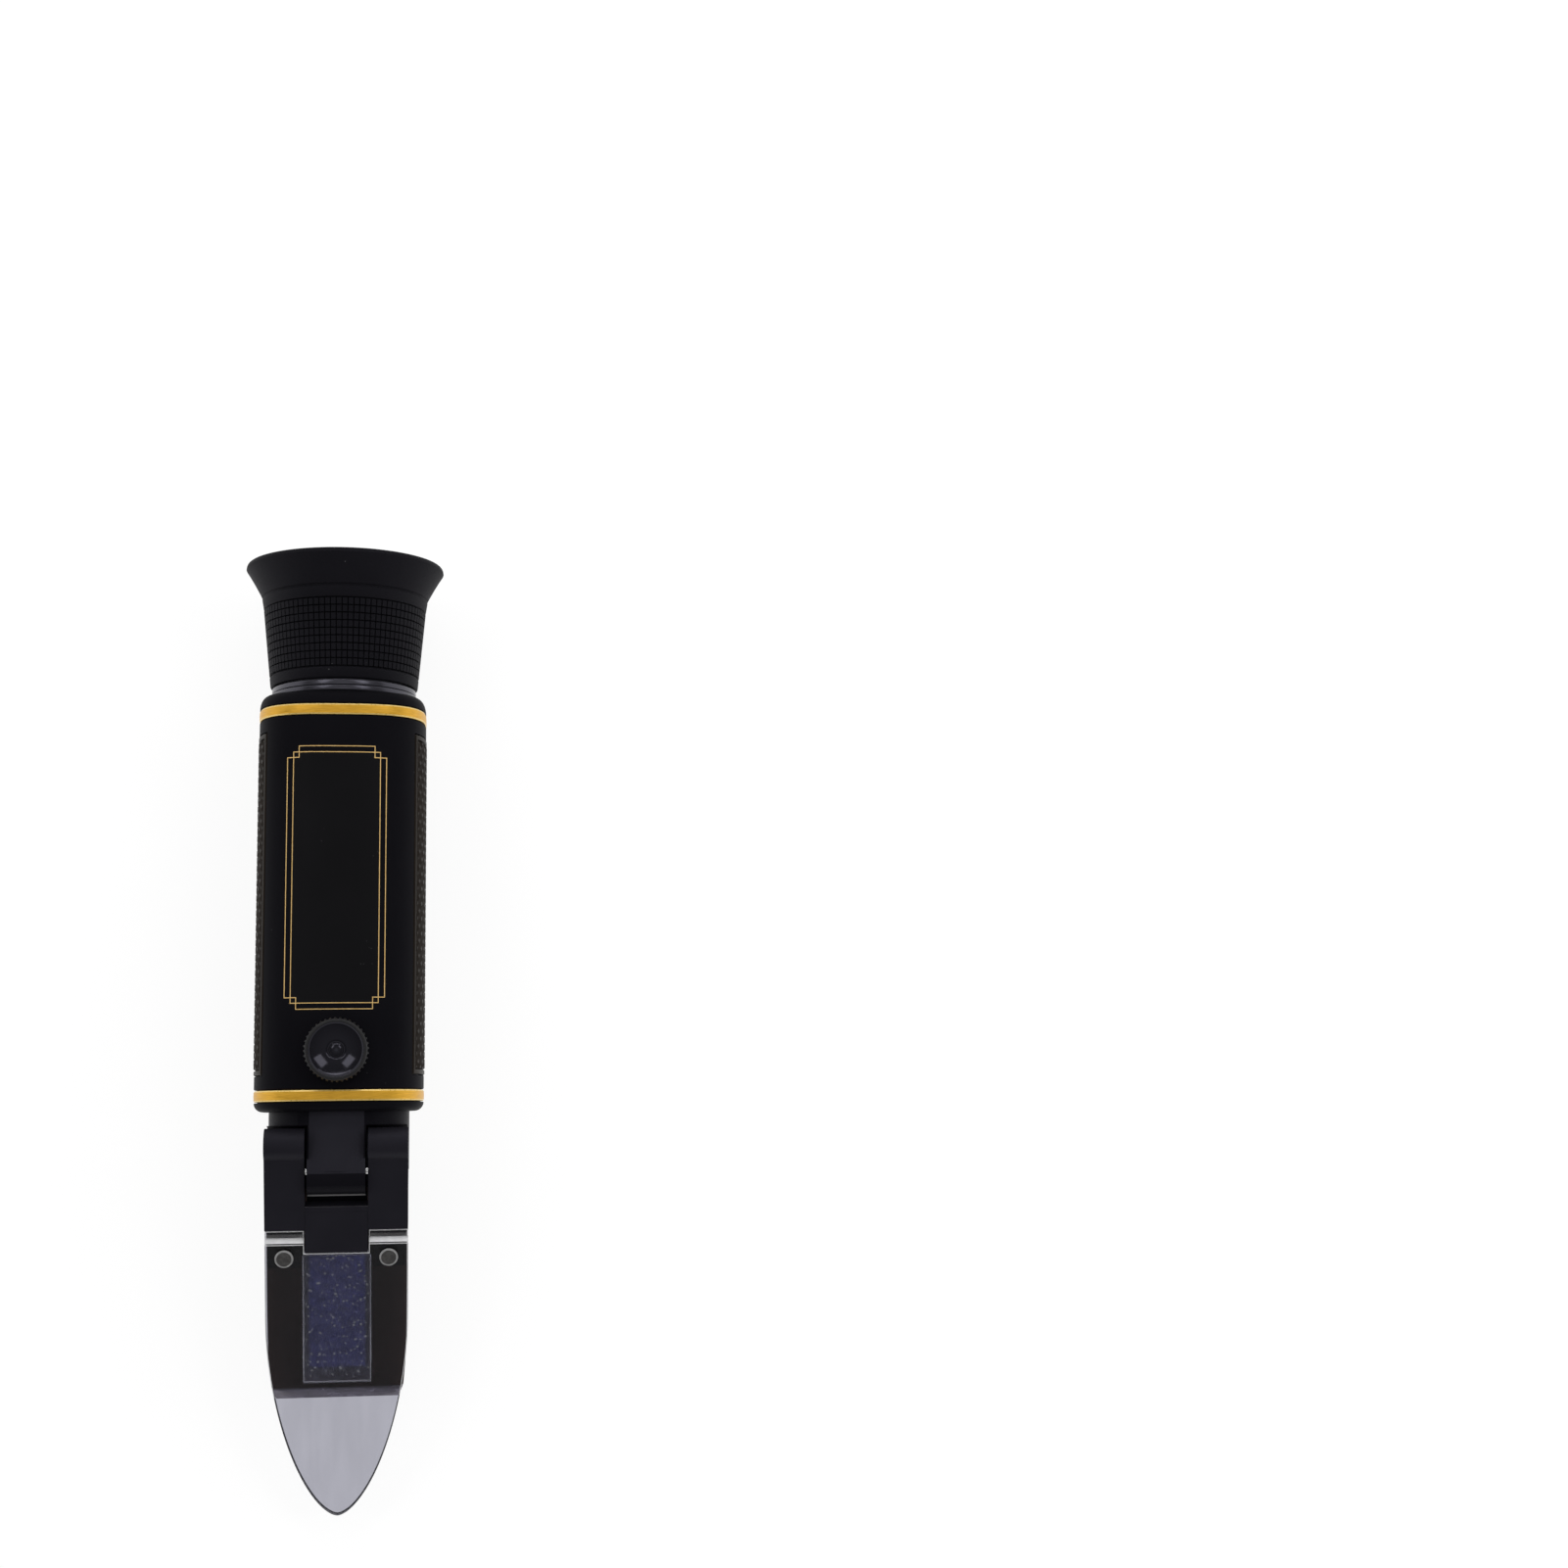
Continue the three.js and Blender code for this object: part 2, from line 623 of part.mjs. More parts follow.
function prismSeal() {
  const inner = prismHalfWidth + fit;
  const back = prismBack - fit;
  const front = prismFront + fit;
  const outline = plateRectangle(inner + sealWidth, back - sealWidth, front + sealWidth);
  outline.holes.push(plateRectangle(inner, back, front));
  return extrudedUp(outline, headTop - sealThickness, headTop);
}
mesh('prism_seal', prismSeal(), darkRubber, sampleFrame);

function prismBedPad() {
  const rear = platePoint(prismBack, prismTop).x;
  const front = platePoint(prismFront, prismTop - prismNoseDepth).x + prismNoseLength;
  const top = -prismFloor - fit;
  return block(-prismHalfWidth, prismHalfWidth, front, rear, top - bedThickness, top);
}
mesh('prism_bed_pad', prismBedPad(), darkRubber, optics);

const lightStop = ring(stopRadius, counterboreRadius - fit, fit, fit + stopThickness, middleSides);
mesh('light_stop', lightStop, blackPaint, optics);
const lockRingStart = spigotLength + fit;
const lockRing = ring(counterboreRadius, spigotRadius, lockRingStart, lockRingStart + lockRingThickness, middleSides);
mesh('head_lock_ring', lockRing, aluminium, optics);

// Hinge bracket: two ears with raised humps, arms, a bridge with its tongue, and flanges under the plate
function earOutline() {
  const crease = Math.acos((bracketTop + humpDrop) / humpRadius);
  const underside = tailAngle - tailSpread;
  const outline = new THREE.Shape();
  outline.moveTo(-armFront, bracketTop);
  outline.lineTo(-armFront, bracketUnder);
  outline.lineTo(-Math.sqrt(bossRadius ** 2 - bracketUnder ** 2), bracketUnder);
  outline.absarc(0, 0, bossRadius, Math.PI - Math.asin(bracketUnder / bossRadius), 2 * Math.PI + underside, false);
  outline.absarc(humpBack, -humpDrop, humpRadius, underside, Math.PI / 2 + crease, false);
  return outline;
}

function hingeBracket() {
  const ear = (x0, x1) => extrudedAcross(earOutline(), x0, x1);
  const bridge = block(-earInside - fit, earInside + fit, -armFront, -windowFront, bracketUnder, bracketTop);
  const tongue = block(
    -bracketTongueHalfWidth,
    bracketTongueHalfWidth,
    -bracketTongueFront,
    -windowFront,
    bracketUnder,
    bracketTop,
  );
  const flange = (x0, x1) => block(x0, x1, -flangeFront, -flangeBack, flangeUnder, flangeTop);
  const rivetHole = (x) => {
    const hole = upright(bar(rivetRadius + fit, -overrun, overrun, narrowSides));
    return hole.translate(x, -rivetSetback, 0);
  };
  const whole = join(
    ear(-bracketHalfWidth, -earInside),
    ear(earInside, bracketHalfWidth),
    bridge,
    tongue,
    flange(-flangeOutside, -flangeInside),
    flange(flangeInside, flangeOutside),
  );
  const pinHole = sideways(bar(pinRadius + fit, -headRadius - overrun, headRadius + overrun, narrowSides));
  return cut(whole, pinHole, rivetHole(-rivetSpread), rivetHole(rivetSpread));
}
mesh('hinge_bracket', hingeBracket(), bracketBlack, cover);

// Daylight plate: a leaf with straight sides and an ogive tip, notched round the bracket's tongue
function plateOutline() {
  const outline = new THREE.Shape();
  const notchHalfWidth = bracketTongueHalfWidth + fit;
  const notchFront = bracketTongueFront + fit;
  outline.moveTo(notchHalfWidth, -notchFront);
  outline.lineTo(-notchHalfWidth, -notchFront);
  outline.lineTo(-notchHalfWidth, -plateBack);
  outline.lineTo(-plateHalfWidth, -plateBack);
  const edge = (share) => {
    const half = plateHalfWidth * (1 - share ** ogiveBluntness) ** ogiveFullness;
    return new THREE.Vector2(half, -ogiveStart - share * (plateTip - ogiveStart));
  };
  const places = Array.from({ length: ogiveSteps + 1 }, (_, i) => edge(Math.sin((i / ogiveSteps) * (Math.PI / 2))));
  for (const place of places) outline.lineTo(-place.x, place.y);
  for (const place of places.slice(0, -1).reverse()) outline.lineTo(place.x, place.y);
  outline.lineTo(plateHalfWidth, -plateBack);
  outline.lineTo(notchHalfWidth, -plateBack);
  for (const side of [-1, 1]) {
    const hole = new THREE.Path();
    hole.absarc(side * rivetSpread, -rivetSetback, rivetRadius + fit, 0, 2 * Math.PI, false);
    outline.holes.push(hole);
  }
  return outline;
}

function daylightPlate() {
  const leaf = extrudedUp(plateOutline(), 0, plateThickness);
  const frost = block(-frostHalfWidth, frostHalfWidth, -frostFront, -prismBack, frostUnder, plateThickness / 2);
  return join(leaf, frost);
}
mesh('daylight_plate', daylightPlate(), clearPlastic, cover);

function rivet() {
  const foot = flangeUnder;
  const seat = plateThickness + fit;
  const path = new THREE.Path();
  path.moveTo(0, foot);
  path.lineTo(rivetRadius, foot);
  path.lineTo(rivetRadius, seat);
  path.lineTo(rivetHeadRadius, seat);
  path.lineTo(rivetHeadRadius, seat + rivetHeadHeight / 2);
  path.lineTo(rivetRadius, seat + rivetHeadHeight);
  path.lineTo(0, seat + rivetHeadHeight);
  return upright(turned(path, narrowSides));
}
mesh('left_plate_rivet', rivet(), rivetGrey, cover).position.set(-rivetSpread, -rivetSetback, 0);
mesh('right_plate_rivet', rivet(), rivetGrey, cover).position.set(rivetSpread, -rivetSetback, 0);

// Calibration knob with toothed rim and conical dish, its screw, stem and bushing
function calibrationKnob() {
  const outline = new THREE.Shape();
  for (let i = 0; i < 2 * knobTeeth; i++) {
    const angle = (i * Math.PI) / knobTeeth;
    const radius = knobRadius - (i % 2) * knobToothDepth;
    outline[i ? 'lineTo' : 'moveTo'](radius * Math.cos(angle), radius * Math.sin(angle));
  }
  const dish = new THREE.Path();
  dish.moveTo(0, knobDishFloor);
  dish.lineTo(knobScrewRadius + fit, knobDishFloor);
  dish.lineTo(knobDishRadius, knobTop);
  dish.lineTo(knobDishRadius, knobTop + overrun);
  dish.lineTo(0, knobTop + overrun);
  const stemHole = upright(bar(stemRadius + fit, knobBottom - overrun, stemTop + fit, narrowSides));
  const screwHole = upright(bar(knobScrewShank + fit, knobBottom, knobTop, narrowSides));
  return cut(extrudedUp(outline, knobBottom, knobTop), upright(turned(dish, middleSides)), stemHole, screwHole);
}
mesh('calibration_knob', calibrationKnob(), glossBlack, knobAxis);

function knobScrew() {
  const seat = knobDishFloor + fit;
  const path = new THREE.Path();
  path.moveTo(0, stemTop - knobScrewReach);
  path.lineTo(knobScrewShank, stemTop - knobScrewReach);
  path.lineTo(knobScrewShank, seat);
  path.lineTo(knobScrewRadius, seat);
  path.absellipse(0, seat, knobScrewRadius, knobScrewHeight, 0, Math.PI / 2, false, 0);
  return upright(turned(path, narrowSides));
}
mesh('knob_screw', knobScrew(), glossBlack, knobAxis);

function knobStem() {
  const holeRadius = knobScrewShank + fit;
  const holeFloor = stemTop - knobScrewReach - fit;
  const path = new THREE.Path();
  path.moveTo(0, stemEnd);
  path.lineTo(stemRadius, stemEnd);
  path.lineTo(stemRadius, stemCollarFoot);
  path.lineTo(stemCollarRadius, stemCollarFoot);
  path.lineTo(stemCollarRadius, stemCollarTop);
  path.lineTo(stemRadius, stemCollarTop);
  path.lineTo(stemRadius, stemTop);
  path.lineTo(holeRadius, stemTop);
  path.lineTo(holeRadius, holeFloor);
  path.lineTo(0, holeFloor);
  return upright(turned(path, narrowSides));
}
mesh('knob_stem', knobStem(), brass, knobAxis);

function knobBushing() {
  const seat = barrelHalfWidth + fit;
  const inner = stemRadius + fit;
  const path = new THREE.Path();
  path.moveTo(inner, bushingFoot);
  path.lineTo(bushingRadius, bushingFoot);
  path.lineTo(bushingRadius, seat);
  path.lineTo(bushingFlangeRadius, seat);
  path.lineTo(bushingFlangeRadius, seat + bushingFlangeHeight);
  path.lineTo(inner, seat + bushingFlangeHeight);
  return upright(turned(path, narrowSides));
}
mesh('knob_bushing', knobBushing(), brass, knobAxis);

// Objective: a cell with flats and a threaded boss, which slides up and down in its guide
function objectiveCell() {
  const round = bar(objectiveCellRadius, objectiveFront, objectiveRear, middleSides);
  const boss = block(
    -shiftBossHalfWidth,
    shiftBossHalfWidth,
    knobSetback - shiftBossHalfLength,
    knobSetback + shiftBossHalfLength,
    objectiveBore,
    shiftBossTop,
  );
  const reach = objectiveCellRadius + overrun;
  const flats = [-1, 1].map((side) => {
    const x0 = side > 0 ? objectiveCellFlat : -reach;
    const x1 = side > 0 ? reach : -objectiveCellFlat;
    return block(x0, x1, objectiveFront - overrun, objectiveRear + overrun, -reach, reach);
  });
  const lipBore = bar(objectiveCapRadius + fit, objectiveFront - overrun, objectiveRear, middleSides);
  const bore = bar(objectiveBore, objectiveFront + objectiveLip, objectiveRear + overrun, middleSides);
  const thread = upright(bar(stemRadius + fit, shiftBossFloor, shiftBossTop + overrun, narrowSides));
  return cut(join(round, boss), ...flats, lipBore, bore, thread.translate(0, knobSetback, 0));
}
mesh('objective_cell', objectiveCell(), aluminium, optics);

// A lens round the y axis: flat rim, and a bulging or hollow cap on either side
function lens(radius, capRadius, thickness, frontSag, rearSag) {
  const path = new THREE.Path();
  const steps = 2 * arcSteps;
  const sagAt = (sag, share) => sag * (1 - share ** 2);
  path.moveTo(0, -frontSag);
  for (let i = 1; i <= steps; i++) path.lineTo((capRadius * i) / steps, -sagAt(frontSag, i / steps));
  path.lineTo(radius, 0);
  path.lineTo(radius, thickness);
  if (rearSag === 0) {
    path.lineTo(0, thickness);
    return turned(path, narrowSides);
  }
  for (let i = steps; i >= 0; i--) path.lineTo((capRadius * i) / steps, thickness + sagAt(rearSag, i / steps));
  return turned(path, narrowSides);
}

const crownStart = objectiveFront + objectiveLip + fit;
const flintStart = crownStart + crownThickness + fit;
const crown = lens(objectiveLensRadius, objectiveCapRadius, crownThickness, objectiveSag, objectiveSag);
const flint = lens(objectiveLensRadius, objectiveCapRadius, flintThickness, -objectiveSag, 0);
mesh('objective_crown_lens', crown, glass, optics).position.y = crownStart;
mesh('objective_flint_lens', flint, glass, optics).position.y = flintStart;
const objectiveRingStart = flintStart + flintThickness + fit;
const objectiveRing = ring(
  objectiveLensRadius - objectiveRingWall,
  objectiveLensRadius,
  objectiveRingStart,
  objectiveRingStart + objectiveRingThickness,
  narrowSides,
);
mesh('objective_retaining_ring', objectiveRing, blackPaint, optics);

function objectiveGuide() {
  const start = objectiveRear + fit;
  const end = start + guideThickness;
  const frame = ring(guideApertureRadius, boreRadius - fit, start, end, middleSides);
  const cheekInside = objectiveCellFlat + fit;
  const cheekOutside = cheekInside + cheekThickness;
  const cheekHalfHeight = Math.sqrt((boreRadius - fit - cheekCornerGap) ** 2 - cheekOutside ** 2);
  const cheek = (x0, x1) => block(x0, x1, objectiveFront, end, -cheekHalfHeight, cheekHalfHeight);
  return join(frame, cheek(-cheekOutside, -cheekInside), cheek(cheekInside, cheekOutside));
}
mesh('objective_guide', objectiveGuide(), aluminium, optics);

// Calibration spring: one unbroken helix between the bore and the cell
class Helix extends THREE.Curve {
  constructor(radius, height, turns) {
    super();
    Object.assign(this, { radius, height, turns });
  }

  getPoint(share, target = new THREE.Vector3()) {
    const angle = 2 * Math.PI * this.turns * share;
    return target.set(this.radius * Math.cos(angle), this.radius * Math.sin(angle), this.height * share);
  }
}

function calibrationSpring() {
  const reach = springRadius + springWireRadius;
  const seatDrop = Math.sqrt((boreRadius - fit) ** 2 - reach ** 2);
  const low = -seatDrop + 2 * springWireRadius;
  const high = -objectiveCellRadius - fit - springWireRadius;
  const wire = new THREE.Shape();
  for (let i = 0; i < springSides; i++) {
    const angle = (2 * Math.PI * i) / springSides;
    wire[i ? 'lineTo' : 'moveTo'](springWireRadius * Math.cos(angle), springWireRadius * Math.sin(angle));
  }
  const path = new Helix(springRadius, high - low, springTurns);
  const steps = springTurns * springStepsPerTurn;
  return new THREE.ExtrudeGeometry(wire, { steps, extrudePath: path }).translate(0, 0, low);
}
mesh('calibration_spring', calibrationSpring(), steel, knobAxis);

// Reticle
function reticleCell() {
  const end = reticleSetback + reticleCellLength;
  const path = new THREE.Path();
  path.moveTo(reticleClearRadius, reticleSetback);
  path.lineTo(boreRadius - fit, reticleSetback);
  path.lineTo(boreRadius - fit, end);
  path.lineTo(reticleBore, end);
  path.lineTo(reticleBore, reticleSetback + reticleLip);
  path.lineTo(reticleClearRadius, reticleSetback + reticleLip);
  return turned(path, middleSides);
}
mesh('reticle_cell', reticleCell(), blackPaint, optics);
const reticleStart = reticleSetback + reticleLip + fit;
const reticleRadius = reticleBore - fit;
mesh('reticle_disc', bar(reticleRadius, reticleStart, reticleStart + reticleThickness, narrowSides), glass, optics);
const reticleRingStart = reticleStart + reticleThickness + fit;
const reticleRing = ring(
  reticleRadius - reticleRingWall,
  reticleRadius,
  reticleRingStart,
  reticleRingStart + reticleRingThickness,
  narrowSides,
);
mesh('reticle_retaining_ring', reticleRing, blackPaint, optics);

// Focus tube, with the slot that keeps the lens cell from turning
function focusTube() {
  const path = new THREE.Path();
  path.moveTo(focusTubeBore, focusTubeStart);
  path.lineTo(focusTubeSpigotRadius, focusTubeStart);
  path.lineTo(focusTubeSpigotRadius, barrelLength);
  path.lineTo(focusTubeRadius, barrelLength);
  path.lineTo(focusTubeRadius, focusTubeEnd);
  path.lineTo(focusTubeBore, focusTubeEnd);
  const half = guidePinRadius + fit;
  const slotEnd = guidePinSetback + focusTravel + half;
  const slot = block(-half, half, guidePinSetback - half, slotEnd, 0, focusTubeRadius + overrun);
  return cut(turned(path, middleSides), slot);
}
mesh('focus_tube', focusTube(), aluminium, optics);

// Eye lens cell with its lenses, spacer, rings and guide pin
const lipRadius = eyeCellBore - eyeCellLipHeight;
function eyeLensCell() {
  const path = new THREE.Path();
  path.moveTo(eyeCellBore, eyeCellFront);
  path.lineTo(eyeCellRadius, eyeCellFront);
  path.lineTo(eyeCellRadius, eyeCellRear);
  path.lineTo(lipRadius, eyeCellRear);
  path.lineTo(lipRadius, eyeCellRear - eyeCellLip);
  path.lineTo(eyeCellBore, eyeCellRear - eyeCellLip);
  const pinHole = upright(bar(guidePinRadius + fit, 0, focusTubeRadius + overrun, narrowSides));
  return cut(turned(path, middleSides), pinHole.translate(0, guidePinSetback, 0));
}
mesh('eye_lens_cell', eyeLensCell(), blackPaint, optics);

const guidePin = upright(bar(guidePinRadius, eyeCellBore + guidePinFoot, focusTubeRadius - fit, narrowSides));
mesh('guide_pin', guidePin, steel, optics).position.y = guidePinSetback;

const eyeLensStart = eyeCellRear - eyeCellLip - fit - eyeLensThickness;
const eyeLens = lens(eyeLensRadius, eyeLensCapRadius, eyeLensThickness, eyeLensSag, 0);
mesh('eye_lens', eyeLens, glass, optics).position.y = eyeLensStart;
const fieldLens = lens(eyeLensRadius, eyeLensCapRadius, fieldLensThickness, 0, fieldLensSag);
mesh('field_lens', fieldLens, glass, optics).position.y = fieldLensFront;

const spacerStart = fieldLensFront + fieldLensThickness + fit;
const spacer = ring(eyeLensRadius - lensSpacerWall, eyeLensRadius, spacerStart, eyeLensStart - fit, narrowSides);
mesh('lens_spacer', spacer, blackPaint, optics);
const eyeRingEnd = fieldLensFront - fit;
const eyeRing = ring(eyeLensRadius - lensSpacerWall, eyeLensRadius, eyeRingEnd - eyeRingThickness, eyeRingEnd, narrowSides);
mesh('eye_lens_retaining_ring', eyeRing, blackPaint, optics);

const endRingStart = sleeveFlangeRear + fit;
const endRing = ring(
  eyeCellRadius + fit,
  sleeveRadius - sleeveRearWall - fit,
  endRingStart,
  endRingStart + endRingThickness,
  middleSides,
);
mesh('cell_end_ring', endRing, blackPaint, optics);

// Focus sleeve: glossy skirt, threaded bore and the flange that carries the lens cell along
function focusSleeve() {
  const flangeInner = eyeCellRadius + fit;
  const path = new THREE.Path();
  path.moveTo(sleeveBore, sleeveStart);
  path.lineTo(skirtRadius, sleeveStart);
  path.lineTo(skirtRadius, sleeveStart + skirtLength);
  path.lineTo(sleeveRadius, sleeveStart + skirtLength);
  path.lineTo(sleeveRadius, sleeveRear);
  path.lineTo(sleeveRadius - sleeveRearWall, sleeveRear);
  path.lineTo(sleeveRadius - sleeveRearWall, sleeveFlangeRear);
  path.lineTo(flangeInner, sleeveFlangeRear);
  path.lineTo(flangeInner, sleeveFlangeFront);
  path.lineTo(sleeveBore, sleeveFlangeFront);
  return turned(path, middleSides);
}
mesh('focus_sleeve', focusSleeve(), glossBlack, optics);

function rubberEyecup() {
  const floorFront = sleeveRear + fit;
  const floorRear = floorFront + cupFloorThickness;
  const path = new THREE.Path();
  path.moveTo(cupBore, cupFront);
  path.lineTo(cupGripFrontRadius, cupFront);
  path.lineTo(cupGripRearRadius, cupGripEnd);
  path.lineTo(cupFlareRadius, cupFlareStart);
  path.lineTo(cupRimRadius, cupRimStart);
  path.lineTo(cupRimRadius - cupRimRound, cupRear);
  path.lineTo(cupRimRadius - cupRimWall, cupRear);
  path.quadraticCurveTo(cupFlareRadius - cupRimWall, cupFlareStart, cupFloorRadius, floorRear);
  path.lineTo(eyeCellRadius + fit, floorRear);
  path.lineTo(eyeCellRadius + fit, floorFront);
  path.lineTo(cupBore, floorFront);
  return turned(path, wideSides);
}
mesh('rubber_eyecup', rubberEyecup(), cupRubber, optics);

export default instrument;
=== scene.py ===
# %% [markdown]
# # A handheld refractometer
# The packed CAD model is the fixed frame of this scene: it gives every size, place and moving body.
# Around it, this lesson rebuilds each piece that shows, with the rounds, reliefs and finishes of the
# real one, and leaves the sealed inner pieces as the CAD made them. The frame comes first, because
# every later piece is placed by it, and its box is kept to compare with the finished model.

import math

import bmesh
import bpy
import numpy as np
from mathutils import Matrix, Vector


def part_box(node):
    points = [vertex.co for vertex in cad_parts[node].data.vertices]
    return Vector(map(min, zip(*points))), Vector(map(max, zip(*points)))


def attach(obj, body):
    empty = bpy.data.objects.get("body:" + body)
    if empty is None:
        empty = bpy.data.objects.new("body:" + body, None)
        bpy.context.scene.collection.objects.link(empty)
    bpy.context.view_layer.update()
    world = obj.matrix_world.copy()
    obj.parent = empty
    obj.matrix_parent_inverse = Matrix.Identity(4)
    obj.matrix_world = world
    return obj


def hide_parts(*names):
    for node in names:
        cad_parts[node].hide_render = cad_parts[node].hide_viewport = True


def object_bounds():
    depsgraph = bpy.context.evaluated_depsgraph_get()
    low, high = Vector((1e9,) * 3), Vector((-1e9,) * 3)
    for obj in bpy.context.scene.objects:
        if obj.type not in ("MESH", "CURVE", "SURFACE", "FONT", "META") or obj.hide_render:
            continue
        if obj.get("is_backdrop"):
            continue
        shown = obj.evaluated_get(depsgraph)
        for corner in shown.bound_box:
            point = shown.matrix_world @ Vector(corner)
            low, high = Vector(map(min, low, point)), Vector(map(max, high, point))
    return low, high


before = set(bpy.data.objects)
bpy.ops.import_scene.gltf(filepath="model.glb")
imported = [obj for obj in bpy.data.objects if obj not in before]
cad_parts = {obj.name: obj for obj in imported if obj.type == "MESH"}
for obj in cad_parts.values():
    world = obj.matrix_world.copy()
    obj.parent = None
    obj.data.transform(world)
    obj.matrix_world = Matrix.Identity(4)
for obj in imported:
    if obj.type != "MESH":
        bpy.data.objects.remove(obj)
cad_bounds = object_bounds()
bpy.context.scene.view_settings.view_transform = "Standard"
MM = 0.001

# %% [markdown]
# The photograph looks down on the instrument from a little to its right. A real camera is placed by
# where it stands and how far it leans, so this one gets a place, a lean towards the picture's middle
# and a lens. No lens shift is needed, because the lean alone brings the object to its place at the left.

# %% Camera
CAMERA_PLACE = Vector((18.25, -40.52, 465)) * MM
CAMERA_TARGET = Vector((82.6, 23.1, 15)) * MM
CAMERA_ROLL = math.radians(-0.22)
CAMERA_LENS, SENSOR_WIDTH = 55.35, 36
CLIP_START = 0.01


def make_camera():
    data = bpy.data.cameras.new("camera")
    data.lens = CAMERA_LENS
    data.sensor_width = SENSOR_WIDTH
    data.clip_start = CLIP_START
    made = bpy.data.objects.new("camera", data)
    bpy.context.scene.collection.objects.link(made)
    lean = Vector((0, 0, 1)).rotation_difference(CAMERA_PLACE - CAMERA_TARGET).to_matrix()
    turn = lean @ Matrix.Rotation(CAMERA_ROLL, 3, "Z")
    made.matrix_world = Matrix.Translation(CAMERA_PLACE) @ turn.to_4x4()
    bpy.context.scene.camera = made
    return made


camera = make_camera()
print("camera looks along", [round(v, 4) for v in camera.matrix_world.to_3x3() @ Vector((0, 0, -1))])

# %% [markdown]
# ## Frames of reference
# Sizes are written in millimetres. "Optics" measures y from the barrel's front end and the height
# from the optical axis. "Hinge" sits at the hinge pin, and "Plate" there too, but it leans with the
# daylight plate: its y runs back along the plate and its height stands square to it. "Knob" stands on
# the knob's axis. One matrix for each turns such places into metres in the frame of the CAD, and goes
# straight into the meshes.

# %% Places taken from the frame
barrel_low, barrel_high = (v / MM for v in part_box("barrel_shell"))
pin_low, pin_high = (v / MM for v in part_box("hinge_pin"))
BARREL_LENGTH = barrel_high.y - barrel_low.y
BARREL_HALF = barrel_high.x
AXIS_HEIGHT = barrel_high.z - BARREL_HALF
PIN_Y = (pin_low.y + pin_high.y) / 2 - barrel_low.y
PIN_HEIGHT = (pin_low.z + pin_high.z) / 2 - AXIS_HEIGHT
PIN_RADIUS = (pin_high.z - pin_low.z) / 2
PLATE_TILT = math.radians(20)
KNOB_SETBACK = 10.7
OPTICS = Matrix.Scale(MM, 4) @ Matrix.Translation((0, barrel_low.y, AXIS_HEIGHT))
HINGE = OPTICS @ Matrix.Translation((0, PIN_Y, PIN_HEIGHT))
PLATE = HINGE @ Matrix.Rotation(PLATE_TILT, 4, "X")
KNOB = OPTICS @ Matrix.Translation((0, KNOB_SETBACK, 0))
print("barrel", round(BARREL_LENGTH, 2), "long, pin at", round(PIN_Y, 2), round(PIN_HEIGHT, 2))

# %% [markdown]
# ## Outlines
# Every piece starts as a flat outline. Its corners can each carry a fillet, as real edges do, because a
# dead-sharp edge catches no light. The barrel has an outline of its own: its section is neither round
# nor square but a squircle, which one formula with a power of three draws.

# %% Outlines
FILLET_STEPS = 4
SQUARENESS = 3


def filleted(corners):
    """A closed outline from (a, b, fillet) corners, each fillet drawn as a smooth curve."""
    points = []
    for i, (a, b, fillet) in enumerate(corners):
        here = Vector((a, b))
        if not fillet:
            points.append(here)
            continue
        before = Vector(corners[i - 1][:2]) - here
        after = Vector(corners[(i + 1) % len(corners)][:2]) - here
        cut = min(fillet, before.length / 2, after.length / 2)
        start = here + before.normalized() * cut
        end = here + after.normalized() * cut
        for step in range(FILLET_STEPS + 1):
            t = step / FILLET_STEPS
            points.append(start * (1 - t) ** 2 + here * 2 * t * (1 - t) + end * t**2)
    return points


def squircle(half_width, angle):
    """A point of the barrel's section at an angle from +x."""
    c, s = math.cos(angle), math.sin(angle)
    size = half_width * (abs(c) ** SQUARENESS + abs(s) ** SQUARENESS) ** (-1 / SQUARENESS)
    return size * c, size * s


corner_reach = math.hypot(*squircle(BARREL_HALF, math.pi / 4))
print("barrel section:", round(BARREL_HALF, 2), "to the side,", round(corner_reach, 2), "to the corner")

# %% [markdown]
# ## Solids
# A solid could be an object that is moved and scaled to its place. Here its points go straight to their
# place in metres, so that a piece has no scale or turn left over. Then double points and slivers go, all
# faces look outwards, and the shading is smooth except where two faces meet at a sharp angle.

# %% Solids
SHARP_ANGLE = 35
MERGE_DISTANCE, SLIVER_LENGTH = 1e-7, 1e-8


def finish_mesh(name, mesh, place, sharp_angle):
    """Puts a mesh in its place for good, points its faces outwards and shades it by angle."""
    mesh.transform(place)
    work = bmesh.new()
    work.from_mesh(mesh)
    bmesh.ops.remove_doubles(work, verts=work.verts, dist=MERGE_DISTANCE)
    bmesh.ops.dissolve_degenerate(work, edges=work.edges, dist=SLIVER_LENGTH)
    bmesh.ops.recalc_face_normals(work, faces=work.faces)
    work.to_mesh(mesh)
    work.free()
    mesh.shade_smooth()
    mesh.set_sharp_from_angle(angle=math.radians(sharp_angle))
    made = bpy.data.objects.new(name, mesh)
    bpy.context.scene.collection.objects.link(made)
    return made


def solid(name, points, faces, place, marked=None, sharp_angle=SHARP_ANGLE):
    """An object from points and faces. Marked faces get the attribute that the relief tree reads."""
    mesh = bpy.data.meshes.new(name)
    mesh.from_pydata([tuple(p) for p in points], [], faces)
    if marked is not None:
        flags = mesh.attributes.new("relief", "BOOLEAN", "FACE")
        flags.data.foreach_set("value", [f in marked for f in range(len(faces))])
    return finish_mesh(name, mesh, place, sharp_angle)


print("faces sharper than", SHARP_ANGLE, "degrees keep a hard edge")

